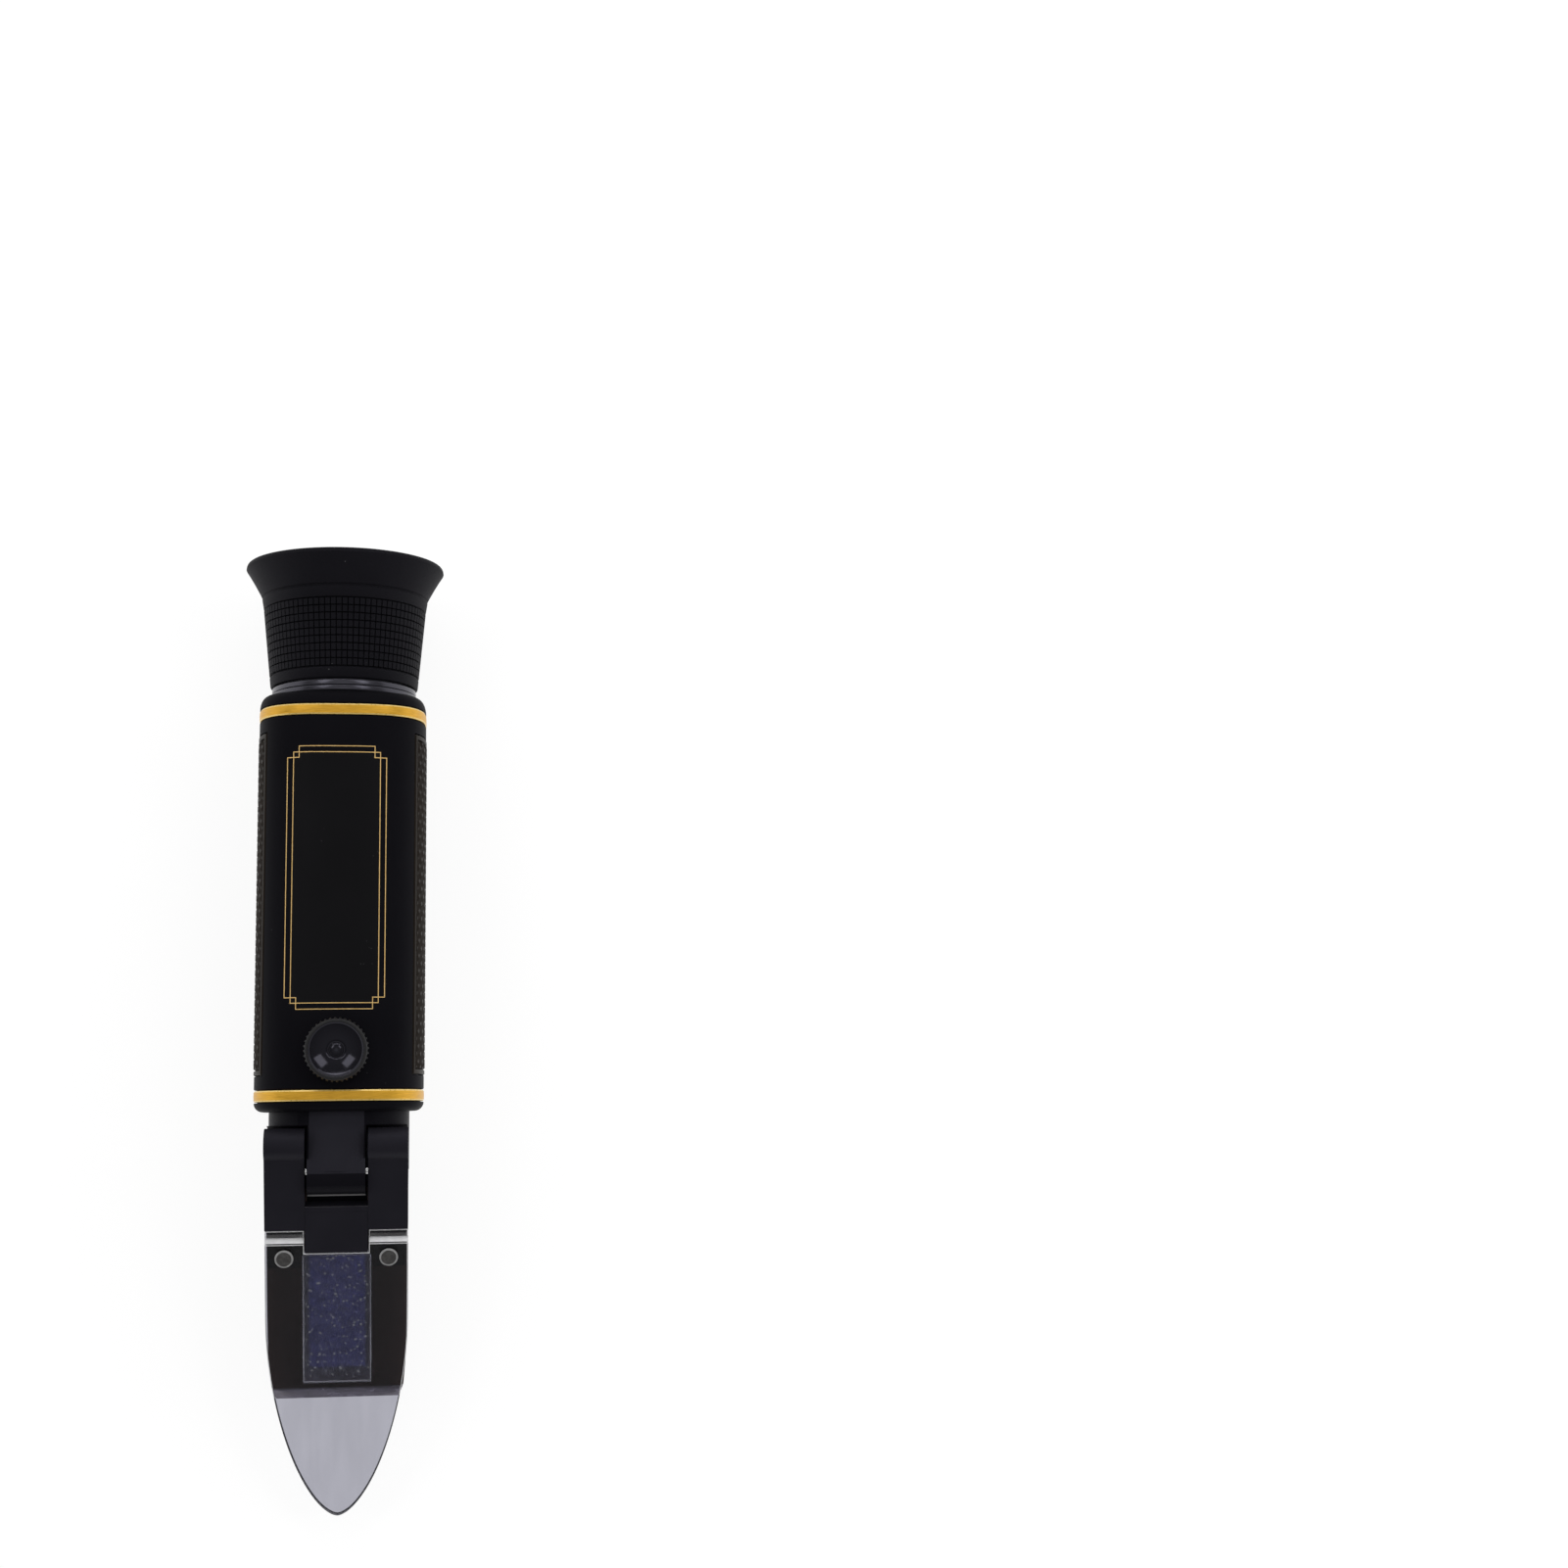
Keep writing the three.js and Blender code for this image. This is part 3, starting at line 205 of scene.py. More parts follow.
# %% [markdown]
# ## Turning and pulling
# Most pieces of an optical instrument are turned on a lathe, so one helper spins a closed profile round
# an axis. It can also press what it turned into the squircle. Another helper pulls an outline straight,
# as a bar is drawn. Both make closed solids, because the cuts and joints that follow need them closed.

# %% Turning and pulling
def turned(
    name, profile, sides, place, axis="Y",
    squared=False, belly=None, marked_rows=(), every=1, sharp_angle=SHARP_ANGLE,
):
    """Spins a closed profile of (radius, height) points round an axis.

    It can press the shape into the barrel's section, cut it flat at the belly, and mark every
    second or third cell of some rows for the relief.
    """
    points, faces, marked = [], [], set()
    for radius, height in profile:
        for k in range(sides):
            angle = 2 * math.pi * k / sides
            if squared:
                a, b = squircle(radius, angle)
            else:
                a, b = radius * math.cos(angle), radius * math.sin(angle)
            if belly is not None:
                b = max(b, belly)
            points.append({"Y": (a, height, b), "Z": (a, b, height), "X": (height, a, b)}[axis])
    for row in range(len(profile)):
        after = (row + 1) % len(profile)
        if profile[row][0] == 0 and profile[after][0] == 0:
            continue
        for k in range(sides):
            k1 = (k + 1) % sides
            if row in marked_rows and k % every == 0:
                marked.add(len(faces))
            faces.append((row * sides + k, row * sides + k1, after * sides + k1, after * sides + k))
    return solid(name, points, faces, place, marked if marked_rows else None, sharp_angle)


def extruded(name, outline, low, high, place, axis="X"):
    """A flat outline pulled from low to high. Along X it is drawn in (y, z), along Y in (x, z)."""
    count = len(outline)
    points = []
    for level in (low, high):
        for a, b in outline:
            points.append({"X": (level, a, b), "Y": (a, level, b), "Z": (a, b, level)}[axis])
    faces = [tuple(range(count)), tuple(range(2 * count - 1, count - 1, -1))]
    faces += [(i, (i + 1) % count, count + (i + 1) % count, count + i) for i in range(count)]
    return solid(name, points, faces, place)


def box_piece(name, x, y, z, place):
    """A block between a low and a high value along each axis."""
    outline = [(y[0], z[0]), (y[1], z[0]), (y[1], z[1]), (y[0], z[1])]
    return extruded(name, outline, x[0], x[1], place)


print("a solid can be", ", ".join(f.__name__ for f in (turned, extruded, box_piece)))

# %% [markdown]
# ## Cutting, joining and softening
# A casting or a moulding is a bulk with pockets and holes. Boolean modifiers join and cut it in the
# order in which it would be machined, and each is settled at once, so that the next one starts from a
# plain mesh. A bevel then gives the small round that paint, a file or a mould leaves on every edge.

# %% Cutting, joining and softening
def settle(piece, sharp_angle=SHARP_ANGLE):
    """Turns a piece with its modifiers into a plain mesh."""
    bpy.context.view_layer.update()
    evaluated = piece.evaluated_get(bpy.context.evaluated_depsgraph_get())
    mesh = bpy.data.meshes.new_from_object(evaluated)
    piece.modifiers.clear()
    old = piece.data
    piece.data = mesh
    bpy.data.meshes.remove(old)
    mesh.name = piece.name
    if sharp_angle is not None:
        mesh.shade_smooth()
        mesh.set_sharp_from_angle(angle=math.radians(sharp_angle))
    return piece


def combine(base, operation, tools):
    """Joins solids to a base or cuts them out of it."""
    for tool in tools:
        step = base.modifiers.new(tool.name, "BOOLEAN")
        step.operation = operation
        step.solver = "EXACT"
        step.object = tool
        settle(base)
        bpy.data.objects.remove(tool)
    return base


def flat_shaded(piece):
    """Lets the large faces rule the shading, so that a narrow round doesn't bend them."""
    step = piece.modifiers.new("flat faces", "WEIGHTED_NORMAL")
    step.keep_sharp = True
    step.weight = 100
    return settle(piece, None)


def softened(piece, width, segments=2, angle=32):
    """Rounds each edge that turns by more than an angle. The width is in millimetres."""
    bevel = piece.modifiers.new("edges", "BEVEL")
    bevel.width = width * MM
    bevel.segments = segments
    bevel.limit_method = "ANGLE"
    bevel.angle_limit = math.radians(angle)
    return flat_shaded(settle(piece))


def size_of(piece):
    """What a cell prints about a piece that it made."""
    return f"{piece.name}: {len(piece.data.polygons)} faces"


# %% [markdown]
# ## Sums of sockets
# A finish is a material made of nodes. Its sums are written as Python expressions: a Socket stands for
# a node's output, and adding, subtracting or multiplying it adds a Math node, so that 1 - mask turns a
# mask round.

# %% Sums of sockets
class Socket:
    """A node's output that can stand in a sum."""

    def __init__(self, finish, output):
        self.finish = finish
        self.output = output

    def math(self, operation, *others):
        values = dict(enumerate((self, *others)))
        return self.finish.node("ShaderNodeMath", {"operation": operation}, values)

    def __add__(self, other):
        return self.math("ADD", other)

    def __sub__(self, other):
        return self.math("SUBTRACT", other)

    def __mul__(self, other):
        return self.math("MULTIPLY", other)

    def __rsub__(self, other):
        return self.math("MULTIPLY_ADD", -1, other)

    __radd__ = __add__
    __rmul__ = __mul__


print("sums that a socket takes part in:", [n for n in vars(Socket) if n.startswith("__r")])

# %% [markdown]
# ## A finish
# Every node of a finish comes from the one method "node", which takes the node's kind, its settings and
# what goes into its sockets. The other methods name the patterns that real surfaces show: noise for
# grain, scattered points for dust and crystals, and a stretched place for brushing. All of them lie in
# the object's own space, so that they move with its piece.

# %% Finish
class Finish:
    """A material whose nodes are added one call at a time. Scales count per metre."""

    def __init__(self, name, color, roughness, **sockets):
        self.material = bpy.data.materials.new(name)
        self.material.use_nodes = True
        self.tree = self.material.node_tree
        self.surface = next(n for n in self.tree.nodes if n.type == "BSDF_PRINCIPLED")
        self.feed("Base Color", (*color, 1))
        self.feed("Roughness", roughness)
        for socket, value in sockets.items():
            self.feed(socket.replace("_", " "), value)
        self.place = self.node("ShaderNodeTexCoord", output="Object")

    def feed(self, socket, value, node=None):
        target = (node or self.surface).inputs[socket]
        if isinstance(value, Socket):
            self.tree.links.new(value.output, target)
        else:
            target.default_value = value

    def node(self, kind, settings=None, values=None, output=0):
        made = self.tree.nodes.new(kind)
        for key, value in (settings or {}).items():
            setattr(made, key, value)
        for socket, value in (values or {}).items():
            self.feed(socket, value, made)
        return Socket(self, made.outputs[output])

    def noise(self, scale, detail, place=None, roughness=0.5):
        values = {"Vector": place or self.place, "Scale": scale, "Detail": detail, "Roughness": roughness}
        return self.node("ShaderNodeTexNoise", values=values)

    def grains(self, scale):
        """Distance to the nearest of many scattered points."""
        return self.node("ShaderNodeTexVoronoi", values={"Vector": self.place, "Scale": scale})

    def stretched(self, x, y, z):
        """The place, counted closer along some axes, for marks that run along the others."""
        return self.node("ShaderNodeMapping", values={"Vector": self.place, "Scale": (x, y, z)})

    def between(self, value, low, high, to_low=0.0, to_high=1.0):
        values = {"Value": value, "From Min": low, "From Max": high, "To Min": to_low, "To Max": to_high}
        return self.node("ShaderNodeMapRange", {"clamp": True}, values)

    def mixed(self, share, first, second):
        first = first if isinstance(first, Socket) else (*first, 1)
        second = second if isinstance(second, Socket) else (*second, 1)
        values = {0: share, 6: first, 7: second}
        return self.node("ShaderNodeMix", {"data_type": "RGBA"}, values, output=2)

    def bump(self, height, strength, distance):
        values = {"Height": height, "Strength": strength, "Distance": distance * MM}
        return self.node("ShaderNodeBump", values=values)


print("patterns and mixes:", ", ".join(n for n in vars(Finish) if not n.startswith("_")))

# %% [markdown]
# ## Where a finish goes
# A piece gets one finish all over. Single faces can then get another, as a casting is painted and
# afterwards polished in one place. The faces are picked by a test on where they lie and which way they
# look, counted in the frame that suits the piece, so that nobody has to pick them by hand.

# %% Where a finish goes
def dress(piece, finish):
    """Gives a piece one finish and takes away any other."""
    piece.data.materials.clear()
    piece.data.materials.append(finish.material)
    return piece


def mark_faces(piece, finish, place, test):
    """Gives a finish of its own to each face whose place and direction pass a test."""
    piece.data.materials.append(finish.material)
    back = place.inverted()
    turn = back.to_3x3().normalized()
    for face in piece.data.polygons:
        if test(back @ face.center, turn @ face.normal):
            face.material_index = len(piece.data.materials) - 1
    return piece


print("materials at the start:", len(bpy.data.materials))

# %% [markdown]
# ## Black finishes
# Almost the whole instrument is black, so the finishes differ mostly in gloss and grain: a matte paint on
# the barrel, a smoother satin paint on the head, a moulded bracket, dusty rubber, and a gloss on the knob
# and the focus ring. A few are lighter blacks that carry painted light, such as the painted sheen of the
# focus ring. Each gets a fine grain, a slow change of gloss and the odd speck of dust, which is what the
# eye reads as black paint or rubber and not as a hole.

# %% Black finishes
DUST_SCALE, DUST_PATCH_SCALE = 900, 108
SLOW_SCALE, GRAIN_STRENGTH = 70, 0.6


def dusted(finish, color, dust, share):
    """Mixes rare pale specks into a colour."""
    speck = 1 - finish.between(finish.grains(DUST_SCALE), 0.05, 0.11)
    patch = finish.between(finish.noise(DUST_PATCH_SCALE, 1), 0.66, 0.7)
    return finish.mixed(speck * patch * share, color, dust)


def black_finish(
    name, low, high, roughness, grain, depth, dust=(0.12, 0.12, 0.125), dust_share=0.3, **sockets
):
    """Two near-black tones, a grain with its scale and its depth in millimetres, and dust."""
    finish = Finish(name, low, roughness, **sockets)
    slow = finish.noise(SLOW_SCALE, 3)
    color = finish.mixed(finish.between(slow, 0.3, 0.7), low, high)
    finish.feed("Base Color", dusted(finish, color, dust, dust_share))
    fine = finish.noise(grain, 3, roughness=0.65)
    gloss = finish.between(fine + slow * 0.6, 0.4, 1.2, roughness - 0.06, roughness + 0.1)
    finish.feed("Roughness", gloss)
    finish.feed("Normal", finish.bump(fine, GRAIN_STRENGTH, depth))
    return finish


print("dust:", round(1000 / DUST_SCALE, 1), "mm apart, in patches of", round(1000 / DUST_PATCH_SCALE), "mm")

# %% [markdown]
# ## Paints, rubbers and plastics
# Each black has two tones, a roughness, the scale of its grain and the depth of it. The paints are the
# darkest, the rubber of the flanks is browner, and the grey one is a painted highlight for a few edges.
# How much gloss there is, and its tint, is set on the shader: paint and plastic mirror a faint violet, the
# flanks a faint brown.

# %% Paints, rubbers and plastics
VIOLET_GLOSS = (0.84, 0.82, 1, 1)
BROWN_GLOSS = (1, 0.88, 0.78, 1)
barrel_paint = black_finish(
    "barrel_paint", (0.0038, 0.0036, 0.0048), (0.0052, 0.005, 0.0064), 0.55, 5200, 0.012,
    Specular_IOR_Level=0.05, Specular_Tint=VIOLET_GLOSS,
)
label_film = black_finish(
    "label_film", (0.0044, 0.0042, 0.005), (0.0056, 0.0054, 0.0064), 0.45, 2600, 0.004,
    Specular_IOR_Level=0.08,
)
head_paint = black_finish(
    "head_paint", (0.0052, 0.005, 0.0068), (0.007, 0.0067, 0.009), 0.4, 3800, 0.008,
    Specular_IOR_Level=0.05, Specular_Tint=VIOLET_GLOSS,
)
# Brown lacquer whose colour is raised as painted light, because little lamp light passes the clear plate
# onto the bed.
bed_lacquer_painted_light = black_finish(
    "bed_lacquer_painted_light", (0.05, 0.031, 0.028), (0.068, 0.04, 0.036), 0.4, 2600, 0.0015,
    Specular_IOR_Level=0.1,
)
bracket_plastic = black_finish(
    "bracket_plastic", (0.0118, 0.0113, 0.0152), (0.0158, 0.0151, 0.02), 0.46, 4600, 0.008,
    Specular_IOR_Level=0.14, Specular_Tint=VIOLET_GLOSS,
)
grip_rubber = black_finish(
    "grip_rubber", (0.0076, 0.0053, 0.0038), (0.013, 0.0091, 0.0064), 0.44, 3000, 0.02,
    dust=(0.2, 0.18, 0.16), dust_share=0.5, Specular_IOR_Level=0.14, Specular_Tint=BROWN_GLOSS,
)
cup_rubber = black_finish(
    "cup_rubber", (0.0042, 0.004, 0.0052), (0.0068, 0.0064, 0.0082), 0.6, 2800, 0.02,
    dust=(0.3, 0.3, 0.3), dust_share=0.8, Specular_IOR_Level=0.12, Specular_Tint=VIOLET_GLOSS,
)
gloss_black = black_finish(
    "gloss_black", (0.0045, 0.0043, 0.006), (0.006, 0.0058, 0.0078), 0.1, 1500, 0.002,
    Specular_IOR_Level=0.4, Specular_Tint=VIOLET_GLOSS,
)
# Painted sheen: the focus ring's gloss black, made lighter than the knob's to stand for the soft highlight
# along the collar.
collar_painted_sheen = black_finish(
    "collar_painted_sheen", (0.021, 0.0203, 0.0245), (0.0275, 0.0268, 0.032), 0.22, 1500, 0.002,
    Specular_IOR_Level=0.75, Specular_Tint=VIOLET_GLOSS,
)
knob_rim = black_finish(
    "knob_rim", (0.0115, 0.0112, 0.0122), (0.0162, 0.0158, 0.0172), 0.42, 2600, 0.012,
    Specular_IOR_Level=0.3,
)
# Painted highlight: a grey black for the lip and the bracket's window edge, standing for the light that
# catches them.
painted_grey_highlight = black_finish(
    "painted_grey_highlight", (0.1, 0.098, 0.1), (0.18, 0.175, 0.18), 0.35, 2600, 0.006, Specular_IOR_Level=0.5
)
# Painted light: a lighter black on the upward faces of the tongue, where more light falls.
tongue_painted_light = black_finish(
    "tongue_painted_light", (0.0165, 0.016, 0.021), (0.0215, 0.0208, 0.027), 0.44, 4200, 0.008,
    Specular_IOR_Level=0.1, Specular_Tint=VIOLET_GLOSS,
)
anodised = black_finish(
    "anodised", (0.008, 0.008, 0.009), (0.011, 0.011, 0.012), 0.4, 4000, 0.004,
    Specular_IOR_Level=0.4,
)
print("black finishes:", len(bpy.data.materials), "materials now")

# %% [markdown]
# ## Metals
# The gold bands are brushed round the barrel, so their noise is stretched along the band. Steel gets
# the same treatment along the pin. A metal could be one colour with a bump, but two tones that follow
# the brushing show the marks even where no light is mirrored.

# %% Metals
def metal_finish(name, low, high, roughness, grain, depth, stretch=(1, 1, 1), metallic=1.0):
    """Two tones and a bump that follow one noise, stretched the way the metal is brushed."""
    finish = Finish(name, low, roughness, Metallic=metallic)
    fine = finish.noise(grain, 3, finish.stretched(*stretch))
    share = finish.between(fine, 0.3, 0.7)
    finish.feed("Base Color", finish.mixed(share, low, high))
    finish.feed("Roughness", finish.between(fine, 0.3, 0.7, roughness - 0.06, roughness + 0.08))
    finish.feed("Normal", finish.bump(fine, 0.5, depth))
    return finish


ROUND_THE_BARREL, ALONG_THE_PIN = (0.6, 6, 0.6), (6, 1, 1)
gold = metal_finish(
    "gold", (0.66, 0.34, 0.02), (0.82, 0.45, 0.036), 0.38, 900, 0.006, ROUND_THE_BARREL, 0.45
)
# Painted highlight: a paler gold on the bands' chamfers.
gold_chamfer_highlight = metal_finish("gold_chamfer_highlight", (0.84, 0.58, 0.16), (0.92, 0.68, 0.24), 0.3, 2400, 0.002, metallic=0.4)
gold_line = metal_finish("gold_line", (0.74, 0.46, 0.14), (0.9, 0.62, 0.26), 0.45, 3000, 0.002, metallic=0.2)
steel = metal_finish("steel", (0.5, 0.5, 0.51), (0.64, 0.64, 0.65), 0.22, 1500, 0.003, ALONG_THE_PIN)
pin_steel = metal_finish(
    "pin_steel", (0.9, 0.9, 0.9), (0.97, 0.97, 0.97), 0.14, 1500, 0.001, ALONG_THE_PIN
)
nose_polish = metal_finish(
    "nose_polish", (0.26, 0.24, 0.245), (0.4, 0.37, 0.42), 0.22, 500, 0.004, (0.5, 1, 1), 0.7
)
brass = metal_finish("brass", (0.5, 0.36, 0.13), (0.62, 0.46, 0.18), 0.34, 1800, 0.004)
aluminium = metal_finish("aluminium", (0.36, 0.37, 0.39), (0.46, 0.47, 0.49), 0.4, 2200, 0.004)
print("metals:", len(bpy.data.materials), "materials now")

# %% [markdown]
# ## Clear plastic and its edges
# The plate is moulded acrylic. A see-through colour alone would look like film, so it gets real
# refraction and the faint flow lines of the mould, and a grey tint that is partly painted shade. Its
# edges gather light and show as pale lines, or look out sideways and stay dark; both are painted into
# finishes of their own, as painted highlights and painted shade.

# %% Clear plastic and its edges
PLASTIC_IOR, GLASS_IOR = 1.49, 1.52


def clear_finish(name, color, ior, roughness, streaks=0.0):
    """Clear material. Its streaks are the flow lines that a mould leaves along a plate."""
    finish = Finish(name, color, roughness, IOR=ior, Transmission_Weight=1.0)
    smear = finish.noise(140, 3)
    finish.feed("Roughness", finish.between(smear, 0.35, 0.75, roughness, roughness + 0.035))
    flow = finish.noise(150, 3, finish.stretched(2.2, 0.3, 1))
    low, high = (tuple(min(1, c * (1 + k * streaks)) for c in color) for k in (-1, 0.6))
    finish.feed("Base Color", finish.mixed(finish.between(flow, 0.4, 0.62), low, high))
    return finish


def edge_finish(name, low, high, roughness, transmission, metallic=0.0):
    """A moulded edge with painted light: pale as a painted highlight, or dark as painted shade."""
    finish = Finish(
        name, low, roughness, IOR=PLASTIC_IOR, Transmission_Weight=transmission, Metallic=metallic
    )
    scuff = finish.noise(900, 3)
    finish.feed("Base Color", finish.mixed(finish.between(scuff, 0.35, 0.65), low, high))
    finish.feed("Roughness", finish.between(scuff, 0.3, 0.7, roughness, roughness + 0.15))
    finish.feed("Normal", finish.bump(scuff, 0.4, 0.01))
    return finish


# The grey tint is partly painted shade: it darkens what shows through the plate's tip, as the shade under
# the raised plate would.
clear_plastic = clear_finish("clear_plastic", (0.45, 0.45, 0.51), PLASTIC_IOR, 0.01, 0.04)
lens_glass = clear_finish("lens_glass", (0.93, 0.95, 0.99), GLASS_IOR, 0.005)
# Painted highlights and painted shade for the clear plate's edges.
painted_pale_highlight = edge_finish("painted_pale_highlight", (0.86, 0.86, 0.88), (0.95, 0.95, 0.96), 0.3, 0.0, 0.1)
pad_painted_highlight = edge_finish("pad_painted_highlight", (0.92, 0.92, 0.95), (0.98, 0.98, 0.99), 0.35, 0.0, 0.9)
painted_dark_shade = edge_finish("painted_dark_shade", (0.03, 0.03, 0.034), (0.055, 0.055, 0.062), 0.3, 0.3)
# Painted highlight: a lighter grey round the rivets' heads.
rivet_painted_highlight = edge_finish("rivet_painted_highlight", (0.26, 0.26, 0.26), (0.4, 0.4, 0.4), 0.35, 0.1)
print("clear plastic, glass and edges:", len(bpy.data.materials), "materials now")

# %% [markdown]
# ## Frost, prism glass and rivet plastic
# The pad under the plate is ground to a frost that spreads the light, a rough transmission with
# crystals in it. The prism below is dark blue glass with a polished coat, and the rivets are a
# translucent grey plastic.

# %% Frost, prism glass and rivet plastic
CRYSTAL_SCALE, FROST_BUMP_SCALE = 1250, 3200


def frosted_finish():
    """A ground face: a milky film with crystals in it that turn the light straight back."""
    finish = Finish("frosted_plastic", (0.4, 0.4, 0.42), 0.5, IOR=PLASTIC_IOR, Transmission_Weight=0.82)
    crystal = 1 - finish.between(finish.grains(CRYSTAL_SCALE), 0.2, 0.36)
    share = crystal * finish.between(finish.noise(900, 1), 0.46, 0.54)
    cloud = finish.between(finish.noise(420, 3), 0.35, 0.7)
    tone = finish.mixed(cloud, (0.46, 0.47, 0.64), (0.68, 0.69, 0.92))
    finish.feed("Base Color", finish.mixed(share, tone, (0.98, 0.99, 1.0)))
    finish.feed("Metallic", share)
    finish.feed("Roughness", finish.between(share, 0, 1, 0.42, 0.3))
    finish.feed("Normal", finish.bump(finish.noise(FROST_BUMP_SCALE, 3), 0.7, 0.02))
    return finish


def prism_finish():
    """Dark blue glass: a veil of two tones under a tinted, polished coat."""
    low, high = (0.05, 0.062, 0.32), (0.085, 0.105, 0.46)
    finish = Finish("prism_glass", low, 0.05, IOR=1.62, Specular_IOR_Level=0.6)
    finish.feed("Coat Tint", (0.55, 0.6, 1, 1))
    finish.feed("Coat Weight", 0.6)
    veil = finish.between(finish.noise(260, 3), 0.35, 0.7)
    finish.feed("Base Color", finish.mixed(veil, low, high))
    finish.feed("Roughness", finish.between(finish.noise(900, 2), 0.4, 0.7, 0.03, 0.08))
    return finish


def rivet_finish():
    """Grey plastic that lets a little light through."""
    low, high = (0.045, 0.043, 0.042), (0.075, 0.072, 0.07)
    finish = Finish("rivet_plastic", low, 0.4, IOR=1.5, Transmission_Weight=0.15)
    fine = finish.noise(2400, 3)
    finish.feed("Base Color", finish.mixed(finish.between(fine, 0.35, 0.65), low, high))
    finish.feed("Roughness", finish.between(fine, 0.3, 0.7, 0.3, 0.48))
    finish.feed("Normal", finish.bump(fine, 0.4, 0.006))
    return finish


frosted_plastic, prism_glass, rivet_plastic = frosted_finish(), prism_finish(), rivet_finish()
print("frost, prism and rivets:", len(bpy.data.materials), "materials now")

# %% [markdown]
# ## The relief tree
# Three things on this instrument are rows of small raised cells: the diamonds of the rubber flanks,
# the blocks of the eyecup's grip and the teeth of the knob. One Geometry Nodes tree makes all
# three. The base mesh marks its cells, and the tree lifts each marked face by itself and draws its
# top in. Its inputs are the height of the relief, the share of the cell that the top keeps and the
# material.

# %% Relief tree
def relief_tree():
    """The tree and the identifiers of its inputs by name."""
    tree = bpy.data.node_groups.new("raised_cells", "GeometryNodeTree")
    sockets = {}
    for name, kind in (
        ("Base", "NodeSocketGeometry"),
        ("Relief", "NodeSocketFloat"),
        ("Top Share", "NodeSocketFloat"),
        ("Finish", "NodeSocketMaterial"),
    ):
        sockets[name] = tree.interface.new_socket(name, in_out="INPUT", socket_type=kind)
    tree.interface.new_socket("Piece", in_out="OUTPUT", socket_type="NodeSocketGeometry")
    nodes, link = tree.nodes, tree.links.new
    given, result = nodes.new("NodeGroupInput"), nodes.new("NodeGroupOutput")
    marked = nodes.new("GeometryNodeInputNamedAttribute")
    marked.data_type = "BOOLEAN"
    marked.inputs["Name"].default_value = "relief"
    lift = nodes.new("GeometryNodeExtrudeMesh")
    lift.mode = "FACES"
    lift.inputs["Individual"].default_value = True
    draw_in = nodes.new("GeometryNodeScaleElements")
    real = nodes.new("GeometryNodeRealizeInstances")
    coat = nodes.new("GeometryNodeSetMaterial")
    link(given.outputs["Base"], lift.inputs["Mesh"])
    link(marked.outputs["Attribute"], lift.inputs["Selection"])
    link(given.outputs["Relief"], lift.inputs["Offset Scale"])
    link(lift.outputs["Mesh"], draw_in.inputs["Geometry"])
    link(lift.outputs["Top"], draw_in.inputs["Selection"])
    link(given.outputs["Top Share"], draw_in.inputs["Scale"])
    link(draw_in.outputs["Geometry"], real.inputs["Geometry"])
    link(real.outputs["Geometry"], coat.inputs["Geometry"])
    link(given.outputs["Finish"], coat.inputs["Material"])
    link(coat.outputs["Geometry"], result.inputs["Piece"])
    return tree, {name: socket.identifier for name, socket in sockets.items()}


raised_cells, cell_inputs = relief_tree()


def raise_cells(piece, relief, top_share, finish, sharp_angle=25):
    """Runs the tree on a piece. The relief is in millimetres."""
    step = piece.modifiers.new("cells", "NODES")
    step.node_group = raised_cells
    step[cell_inputs["Relief"]] = relief * MM
    step[cell_inputs["Top Share"]] = top_share
    step[cell_inputs["Finish"]] = finish.material
    return settle(piece, sharp_angle)


print("inputs of the relief tree:", ", ".join(cell_inputs))

# %% [markdown]
# ## Profile of the barrel
# The barrel is a die-cast tube with a squircle section and a belly that is cut flat. It has a rounded
# front end, a groove for each gold band and a soft shoulder at the rear. All of them run right round, so
# they are rows of one lathe profile.

# %% Barrel sizes and profile
BORE = 12.0
FRONT_ROUND, FRONT_STEPS = 1.6, 6
FRONT_BAND, REAR_BAND, BAND_WIDTH = 1.8, 70.86, 1.94
FIT = 0.2
GROOVE_DEPTH = 0.6
SHOULDER_LENGTH, SHOULDER_DEPTH, SHOULDER_DROP, SHOULDER_STEPS = 2.3, 1.15, 0.02, 7
PAD_START, PAD_END, PAD_HALF_HEIGHT = 6.5, 68.0, 10.4
PAD_PROUD, PAD_THICKNESS = 0.1, 0.9
EDGE = 0.12


def groove_rows(band):
    """The groove of one band, with a small chamfer along each of its edges."""
    start, end = band - FIT, band + BAND_WIDTH + FIT
    rim, floor = BARREL_HALF - EDGE, BARREL_HALF - GROOVE_DEPTH
    return [(rim, start, False), (floor, start, False), (floor, end, False), (rim, end, False)]


